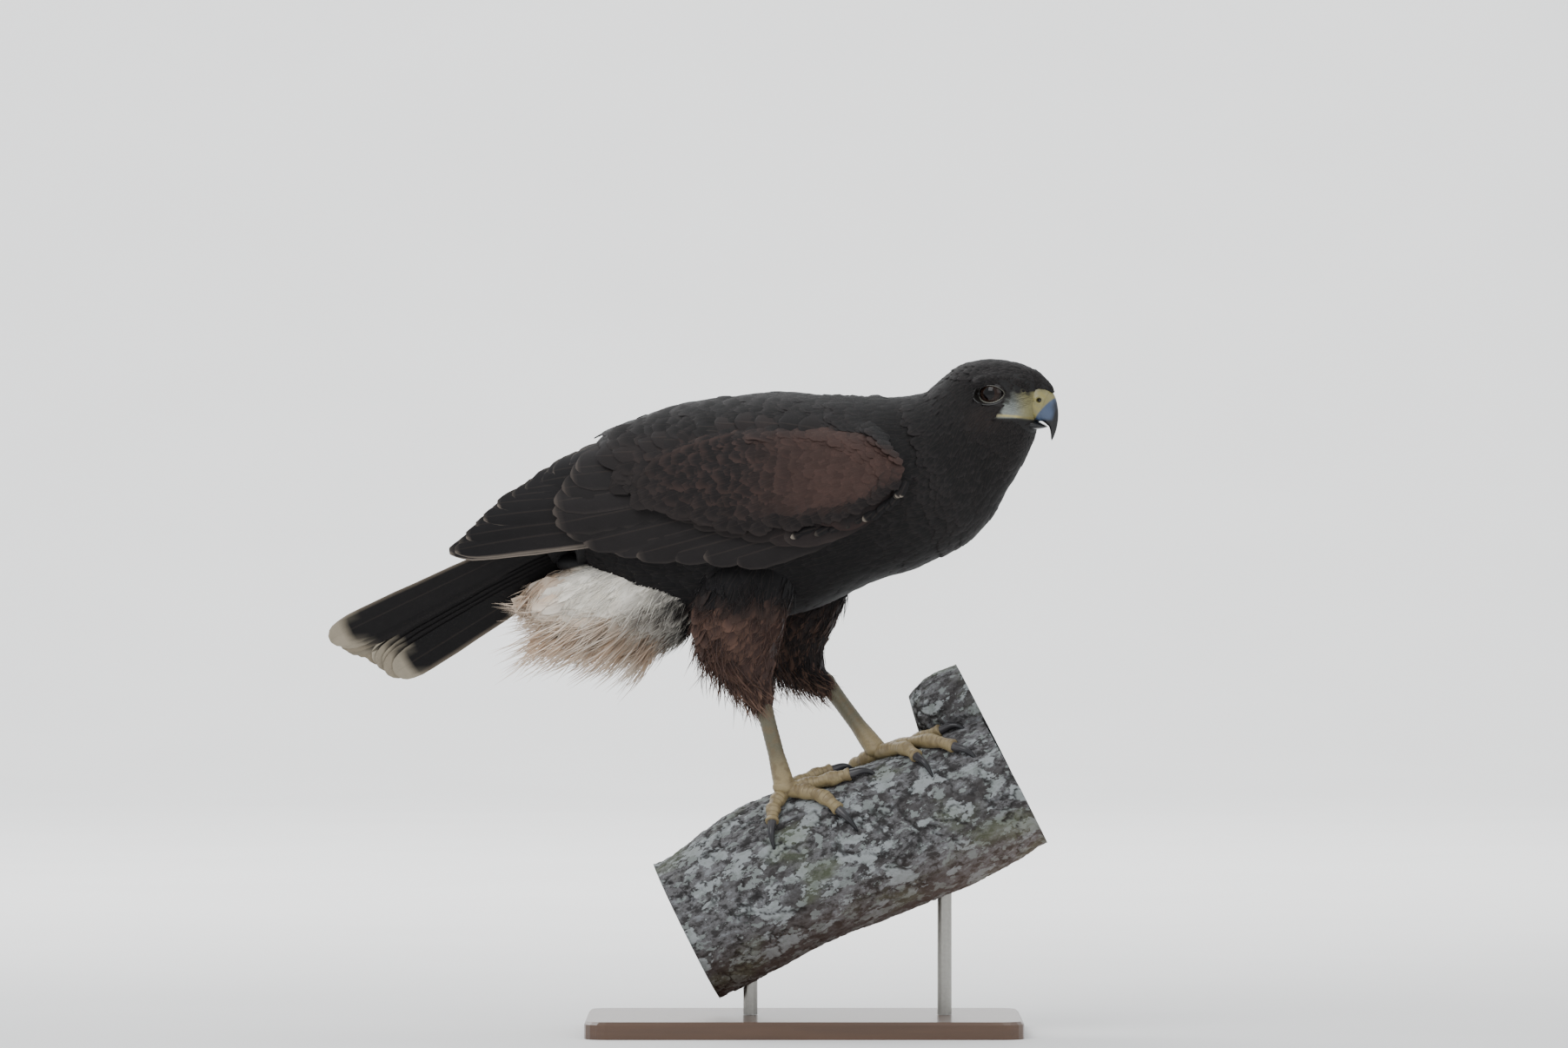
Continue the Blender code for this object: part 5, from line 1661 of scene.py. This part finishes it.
def log_rings(t, sides):
    rows = curve(LOG, t)
    ahead = curve(LOG, np.minimum(t + 0.05, 5)) - curve(LOG, np.maximum(t - 0.05, 0))
    ahead = unit(ahead[:, :2])
    angle = np.linspace(0, 2 * np.pi, sides, endpoint=False)[None, :]
    t = t[:, None]
    reach = rows[:, 2:3] + 1.2 * np.sin(3 * angle + 1.1 * t) + 0.9 * np.sin(5 * angle - 2.3 * t)
    x = rows[:, :1] - ahead[:, 1:2] * reach * np.cos(angle)
    z = rows[:, 1:2] + ahead[:, :1] * reach * np.cos(angle)
    return np.stack([x, reach * np.sin(angle), z], -1)


def knob_rings(count, sides):
    rows = curve_through(KNOB, count)
    return tube_rings(rows[:, :3], rows[:, 3], sides)


def on_log(tree, x, y, height):
    hit, normal = tree.ray_cast(Vector((x, y, 400)), Vector((0, 0, -1)))[:2]
    return np.array(hit + normal * height)


def scaled_tube(path, radii, sides, pitch, depth, up):
    """A limb with rings of low scutes along it, and the mask of the grooves between them."""
    rings = tube_rings(path, radii, sides, up)
    far = np.concatenate([[0], np.cumsum(np.linalg.norm(np.diff(path, axis=0), axis=1))])
    phase = (far / pitch) % 1.0
    swell = depth * (1 - (2 * phase - 1) ** 4)
    angle = np.linspace(0, 2 * np.pi, sides, endpoint=False)
    above = ease((np.sin(angle) + 0.35) / 0.6)
    out = unit(rings - rings.mean(1, keepdims=True))
    grain = 0.5 * depth * np.sin(angle * 9)[None, :] * np.sin(far * 2 * np.pi / 2.1)[:, None] * (1 - above)
    groove = (1 - ease(np.minimum(phase, 1 - phase) / 0.1))[:, None] * above
    return rings + out * (swell[:, None] * above + grain)[..., None], groove


def leg_pieces(tree, flesh, horn):
    """Each leg as shank, pad and four toes in one piece, with a talon on each toe."""
    for name, leg in LEGS.items():
        limbs = []
        pad = on_log(tree, *leg["pad"], PAD_HEIGHT)
        top = np.array(leg["top"], float)
        down = unit(pad - top)
        s = np.linspace(0, 1, 130)
        path = np.array([top - down * 7 + (pad - top + down * 7) * share for share in s])
        radii = np.interp(s, [0, 0.12, 0.35, 0.65, 0.85, 1.0], [5.6, 5.7, 5.3, 5.4, 6.6, 7.2])
        low = ease((s - 0.55) / 0.4)[:, None]
        shank = scaled_tube(path, radii, 48, 3.4, 0.32, (0, 1, 0))
        limbs.append(limb(*shank, mix(LEG_OLIVE, LEG_YELLOW, low)))
        limbs.append(limb(ball_rings(pad, (8.4, 7.6, 6.0), 40, 24), 0, LEG_YELLOW))
        for toe, plan in leg["toes"].items():
            spots = [on_log(tree, x, y, TOE_RADII[k] * TOE_SINK + 0.2) for k, (x, y) in enumerate(plan)]
            u = np.linspace(0, 3, 100)
            path = curve(spots, u)
            start = np.linspace(0, 1, 18)[:, None]
            path[:18] = pad * (1 - start) ** 1.5 + path[:18] * (1 - (1 - start) ** 1.5)
            radii = curve(np.array(TOE_RADII)[:, None], u)[:, 0]
            joint = 0.55 * np.cos(u * 2 * np.pi + 0.3)
            radii = (radii * 1.08 + joint) * (1 - 0.75 * ease((u - 2.9) / 0.1) ** 2)
            limbs.append(limb(*scaled_tube(path, radii, 36, 3.6, 0.4, (0, 0, 1)), LEG_YELLOW))
            claw_piece(f"{name}_{toe}", tree, spots, horn)
        shapes, tints = zip(*limbs)
        points, faces = joined(shapes)
        mesh = bare_mesh("leg_" + name, points, faces, tint=np.concatenate(tints))
        finish_piece(add_object("leg_" + name, mesh), flesh, ["shank_" + name, "foot_" + name])


def limb(rings, groove, colour):
    """A closed limb and its colours: darker in the grooves, mottled all over."""
    tint = mix(colour, srgb(66, 52, 34), 0.7 * groove + 0 * rings[..., 0])
    mottle = noise_at(rings.reshape(-1, 3), 0.16, 2.0, 3).reshape(rings.shape[:2])
    tint = mix(tint, srgb(96, 80, 54), 0.55 * ease((mottle + 0.1) / 0.5))
    return outward(rings), np.concatenate([tint.reshape(-1, 3), tint[0, :1], tint[-1, :1]])


def claw_piece(name, tree, spots, material):
    """A smooth curved talon from the toe's end."""
    old = curve_through(spots, 7)
    ahead = unit(old[-1] - old[-2])
    normal = np.array(tree.find_nearest(Vector(old[-1]))[1])
    normal = unit(normal - ahead * (ahead @ normal))
    spot = old[-1]
    path = [spot - ahead * 2.2 + ahead * 2.0 * k / 5 for k in range(5)] + [spot]
    for k in range(CLAW_STEPS):
        s = k / CLAW_STEPS
        angle = CLAW_RISE * math.sin(math.pi * min(2 * s, 1)) - CLAW_CURVE * s**1.3
        spot = spot + (ahead * math.cos(angle) + normal * math.sin(angle)) * CLAW_LENGTH / CLAW_STEPS
        path.append(spot)
    s = np.linspace(0, 1, len(path))
    rings = tube_rings(path, CLAW_RADIUS * (1 - s) ** 0.72 + 0.12, 24, normal)
    tint = mix(srgb(62, 60, 62), srgb(24, 24, 27), ease(s * 1.6))[:, None] + 0 * rings
    shape = closed_tube(rings)
    return piece("talon_" + name, shape, material, "dark_horn", ["claw_" + name], tint=with_poles(tint))


def noise_at(points, scale, seed=0.0, octaves=4):
    return np.array([noise.fractal(p, 1.0, 2.0, octaves) for p in points * scale + seed])


def barked(rings, ends):
    """The bark's relief on a limb, and its crack mask."""
    rows, columns = rings.shape[:2]
    out = unit(rings - rings.mean(1, keepdims=True))
    flat = rings.reshape(-1, 3)
    plates = noise_at(flat * (0.8, 1.0, 1.0), 0.05, 3.7, 5)
    fine = noise_at(flat, 0.3, 9.1, 4)
    lumps = noise_at(flat, 0.02, 5.5, 3)
    gaps = ease((noise_at(flat, 0.03, 21.0, 2) + 0.02) / 0.2)
    crack = ease((1 - np.abs(plates) * 7 - 0.35) / 0.5) * gaps
    flakes = ease((noise_at(flat, 0.11, 33.0, 4) - 0.02) / 0.06)
    relief = (-1.3 * crack + 0.5 * fine + 1.0 * lumps + 0.6 * flakes - 1.3).reshape(rows, columns)
    if ends:
        relief *= ease(np.minimum(np.arange(rows), np.arange(rows)[::-1]) / 3)[:, None]
    return rings + out * relief[..., None], crack.reshape(rows, columns)


def capped(rings, crack):
    """Adds sawn faces, ring by ring, inside both ends of a limb."""
    inner = np.array([0.985, 0.9, 0.75, 0.5, 0.25])[:, None, None]
    first, last = (end.mean(0) + (end - end.mean(0)) * inner for end in (rings[0], rings[-1]))
    full = np.concatenate([first[::-1], rings, last])
    pad = np.zeros((len(inner), rings.shape[1]))
    return full, np.concatenate([pad, crack, pad]), np.concatenate([pad + 1, 0 * crack, pad + 1])


def perch_piece(material):
    end = 5.0
    while curve(LOG, end)[0] > LOG_END[0]:
        end -= 0.005
    shapes, cracks, saws = [], [], []
    saw_point = np.array((LOG_END[0], 0, LOG_END[1]))
    saw_normal = np.array((math.cos(LOG_END_SLOPE), 0, math.sin(LOG_END_SLOPE)))
    for rings, ends in ((log_rings(np.linspace(0, end, 230), 250), True), (knob_rings(110, 120), False)):
        rings, crack = barked(rings, ends)
        sawn = 0 * crack
        if ends:
            rings, crack, sawn = capped(rings, crack)
        points, faces = closed_tube(rings)
        over = (points - saw_point) @ saw_normal
        points = points - saw_normal * np.maximum(over, 0)[:, None]
        shapes.append((points, facing_out(points, faces)))
        cracks += [crack.ravel(), [0, 0]]
        saws += [sawn.ravel(), [1.0 * ends, 1.0 * ends]]
    values = {"crack": np.concatenate(cracks), "sawn": np.concatenate(saws)}
    mesh = bare_mesh("log", *joined(shapes), values=values)
    return finish_piece(add_object("log", mesh), material, ["perch"])


# Materials of everything that is not feathered, and the stage.
CAMERA_DISTANCE = 6.0
CAMERA_AIM = (61.2, 0, 351.0)
PHOTO_WIDTH = 1804
PIXEL = 0.0006
# The lights: place, aim, size and power.
LIGHTS = (
    ("key", (-1.4, -2.2, 2.7), (0.02, 0, 0.38), 2.2, 62),
    ("fill", (2.6, -2.4, 1.8), (0.02, 0, 0.36), 2.2, 18),
    ("rim", (-1.2, 1.7, 2.2), (0.0, 0, 0.40), 1.6, 36),
    ("top", (0.6, 0.6, 3.0), (0.05, 0, 0.42), 1.8, 18),
    ("backdrop", (0.0, 2.2, 4.2), (0.0, 8.0, 1.2), 3.0, 420),
)


def tinted_material(name, rough, scale, relief, mottle, coat, specular, strength=0.5):
    """A surface coloured by its tint, with fine grain."""
    made = new_material(name)
    graph = made[1]
    grain = graph.node("ShaderNodeGroup", node_tree=GRAIN)
    for key, value in {"Tint": graph.attribute("tint"), "Scale": scale, "Mottle": mottle}.items():
        graph.feed(grain.inputs[key], value)
    levels = {"Roughness": rough, "Coat Weight": coat, "Specular IOR Level": specular}
    return surface(made, grain.outputs["Colour"], levels, (grain.outputs["Height"], strength, relief))


def eye_material():
    """A dark brown iris round a black pupil, read from each point's angle off the line of sight."""
    made = new_material("eye")
    graph = made[1]
    gaze = graph.attribute("gaze", "Fac")
    colour = graph.blend(srgb(19, 11, 8), srgb(40, 24, 15), graph.noise(graph.place(), 900.0, 3.0, 0.6))
    colour = graph.blend(colour, srgb(6, 5, 5), graph.fall(gaze, 22.0, 24.0))
    colour = graph.blend(colour, srgb(14, 10, 9), graph.ramp(gaze, 40.0, 47.0))
    levels = {"Roughness": 0.08, "Specular IOR Level": 0.2, "Coat Weight": 0.12, "Coat Roughness": 0.03}
    return surface(made, colour, levels)


def bark_material():
    """Scaly grey bark with dark pits, pale lichen, a little moss and a warm underside, and sawn ends."""
    made = new_material("bark")
    graph = made[1]
    raw = graph.place()
    lie = {"Vector": raw, "Rotation": (0, -0.44, 0), "Scale": (1.33, 0.8, 0.8)}
    place = graph.node("ShaderNodeMapping", lie, vector_type="TEXTURE").outputs[0]
    moved = graph.vector("ADD", place, (3.1, 1.7, 0.4))
    grain = graph.noise(place, 150.0, 8.0, 0.68)
    dots = graph.noise(moved, 130.0, 7.0, 0.62)
    lichen = graph.times(graph.ramp(graph.noise(place, 58.0, 8.0, 0.62), 0.545, 0.565), 0.85)
    height = graph.split(raw)
    low = graph.fitted(height["X"], -0.45, height["Z"])
    wood = graph.blend(srgb(168, 140, 104), srgb(196, 172, 136), graph.noise(place, 60.0, 4.0))
    colour = srgb(48, 46, 46)
    for layer, share, strength in (
        (srgb(92, 91, 92), graph.ramp(grain, 0.42, 0.52), 1.0),
        (srgb(122, 124, 127), graph.ramp(grain, 0.54, 0.64), 1.0),
        (srgb(52, 48, 47), graph.ramp(graph.noise(place, 22.0, 5.0, 0.6), 0.5, 0.6), 0.65),
        (srgb(150, 155, 156), lichen, 1.0),
        (srgb(128, 134, 132), graph.ramp(dots, 0.56, 0.58), 0.8),
        (srgb(34, 32, 32), graph.fall(dots, 0.38, 0.41), 0.8),
        (srgb(98, 108, 80), graph.ramp(graph.noise(moved, 18.0, 4.0), 0.54, 0.66), 0.4),
        (srgb(30, 28, 27), graph.attribute("crack", "Fac"), 0.9),
        (srgb(112, 80, 58), graph.fall(low, 0.0, 0.07), 0.4),
        (wood, graph.attribute("sawn", "Fac"), 1.0),
    ):
        colour = graph.blend(colour, layer, graph.times(share, strength))
    relief = graph.fitted(graph.noise(place, 700.0, 4.0, 0.65), 0.35, grain)
    relief = graph.fitted(lichen, 0.15, relief)
    return surface(made, colour, {"Roughness": 0.88}, (relief, 0.9, 0.002))


def stand_materials():
    made = new_material("stand_wood")
    graph = made[1]
    grain = graph.noise(graph.vector("MULTIPLY", graph.place(), (6.0, 90.0, 90.0)), 1.0, 5.0, 0.6)
    colour = graph.blend(srgb(58, 40, 29), srgb(96, 68, 47), grain)
    wood = surface(made, colour, {"Roughness": 0.4, "Coat Weight": 0.3}, (grain, 0.15, 0.0005))
    made = new_material("stand_metal")
    graph = made[1]
    colour = graph.blend(srgb(150, 148, 142), srgb(172, 170, 164), graph.noise(graph.place(), 500.0, 3.0))
    return wood, surface(made, colour, {"Metallic": 1.0, "Roughness": 0.32})


def stage_and_light():
    """A pale sweep of floor and backdrop, soft lights and the camera."""
    half, far, radius = 9.0, 8.0, 3.0
    profile = [(-half, 0.0), (-3.0, 0.0), (0.0, 0.0), (far - radius, 0.0)]
    bend = np.linspace(0, math.pi / 2, 24)[1:]
    profile += [(far - radius + radius * math.sin(a), radius - radius * math.cos(a)) for a in bend]
    profile.append((far, 6.0))
    points = np.array([[(x, y, z) for x in (-half, 0.0, half)] for y, z in profile]).reshape(-1, 3)
    mesh = bare_mesh("floor", (points - SHIFT) / MM, [grid_faces(len(profile), 3, wrap=False)])
    made = new_material("pale_floor")
    graph = made[1]
    colour = graph.blend(srgb(232, 232, 231), srgb(240, 240, 239), graph.noise(graph.place(), 3.0, 3.0))
    mesh.materials.append(surface(made, colour, {"Roughness": 0.85}))
    add_object("floor", mesh)
    for name, spot, aim, size, power in LIGHTS:
        light = bpy.data.lights.new(name, "AREA")
        light.energy = power
        light.size = size
        light.shape = "SQUARE"
        lamp = add_object(name, light)
        lamp.location = spot
        lamp.rotation_euler = (Vector(aim) - Vector(spot)).to_track_quat("-Z", "Y").to_euler()
    world = bpy.data.worlds.new("studio")
    world.use_nodes = True
    sky = world.node_tree.nodes["Background"].inputs
    sky["Color"].default_value = (0.93, 0.96, 1.0, 1)
    sky["Strength"].default_value = 0.95
    bpy.context.scene.world = world
    camera = bpy.data.cameras.new("camera")
    camera.sensor_width = 36
    camera.lens = 36 * CAMERA_DISTANCE / (PHOTO_WIDTH * PIXEL)
    eye = add_object("camera", camera)
    aim = np.array(CAMERA_AIM) * MM + SHIFT
    eye.location = (aim[0], aim[1] - CAMERA_DISTANCE, aim[2])
    eye.rotation_euler = (math.pi / 2, 0, 0)
    bpy.context.scene.camera = eye


def dress():
    small = feather_material("small_feathers", 0.55, 0.12, 0.1, 0.68, 0.14, 0.06)
    broad = feather_material("broad_feathers", 1.1, 0.16, 0.36, 0.62, 0.16, 0.05, False)
    soft = feather_material("soft_feathers", 0.7, 0.12, 0.10, 0.74, 0.12, 0.15)
    under = tinted_material("under_skin", 0.7, 700.0, 0.0004, 0.2, 0.0, 0.35)
    flesh = tinted_material("scaled_skin", 0.5, 1100.0, 0.0003, 0.18, 0.0, 0.5)
    waxy = tinted_material("waxy_skin", 0.34, 900.0, 0.0002, 0.12, 0.15, 0.5)
    horn = tinted_material("horn", 0.36, 500.0, 0.0002, 0.14, 0.12, 0.4, 0.3)
    contours = template_set("contour", [[blade_rings(20 + k)] for k in range(KINDS)])
    soft_layers = {
        "down": (contours, soft),
        "wisps": (template_set("wisps", wisp_kinds(9, 0.7)), soft),
        "locks": (template_set("locks", wisp_kinds(30, 0.55)), soft),
    }
    sleek = (contours, small)
    skin_piece(under)
    eye = eye_material()
    tree = head_tree()
    for name, side in SIDES.items():
        eye_piece(name, side, eye)
        lid_piece(name, side, tree, waxy)
        for layer in ("down", "wisps"):
            thigh_coat(name, soft_layers[layer], layer)
        wing_coat(name, side, sleek)
    cere_piece(waxy)
    bill_piece("bill_top", BILL, CERE_END - 0.25, "bill_upper", horn)
    bill_piece("bill_under", LOWER_BILL, 0.0, "bill_lower", horn)
    wing_pieces(broad)
    tail_piece(broad)
    torso_coat("coat_back", sleek, 1, True)
    torso_coat("coat_belly", sleek, 2, False)
    neck_coat(sleek)
    head_coat(sleek)
    forehead_coat(sleek)
    bristle_coat((template_set("bristle", bristle_kinds()), small))
    for layer, laid in soft_layers.items():
        undertail_coat(laid, layer)
    leg_pieces(coarse_log(), flesh, horn)
    perch_piece(bark_material())
    wood, steel = stand_materials()
    for node, material in (("stand_base", wood), ("stand_rod_rear", steel), ("stand_rod_front", steel)):
        mesh = bpy.data.objects[node].data
        mesh.materials.clear()
        mesh.materials.append(material)
    stage_and_light()


dress()
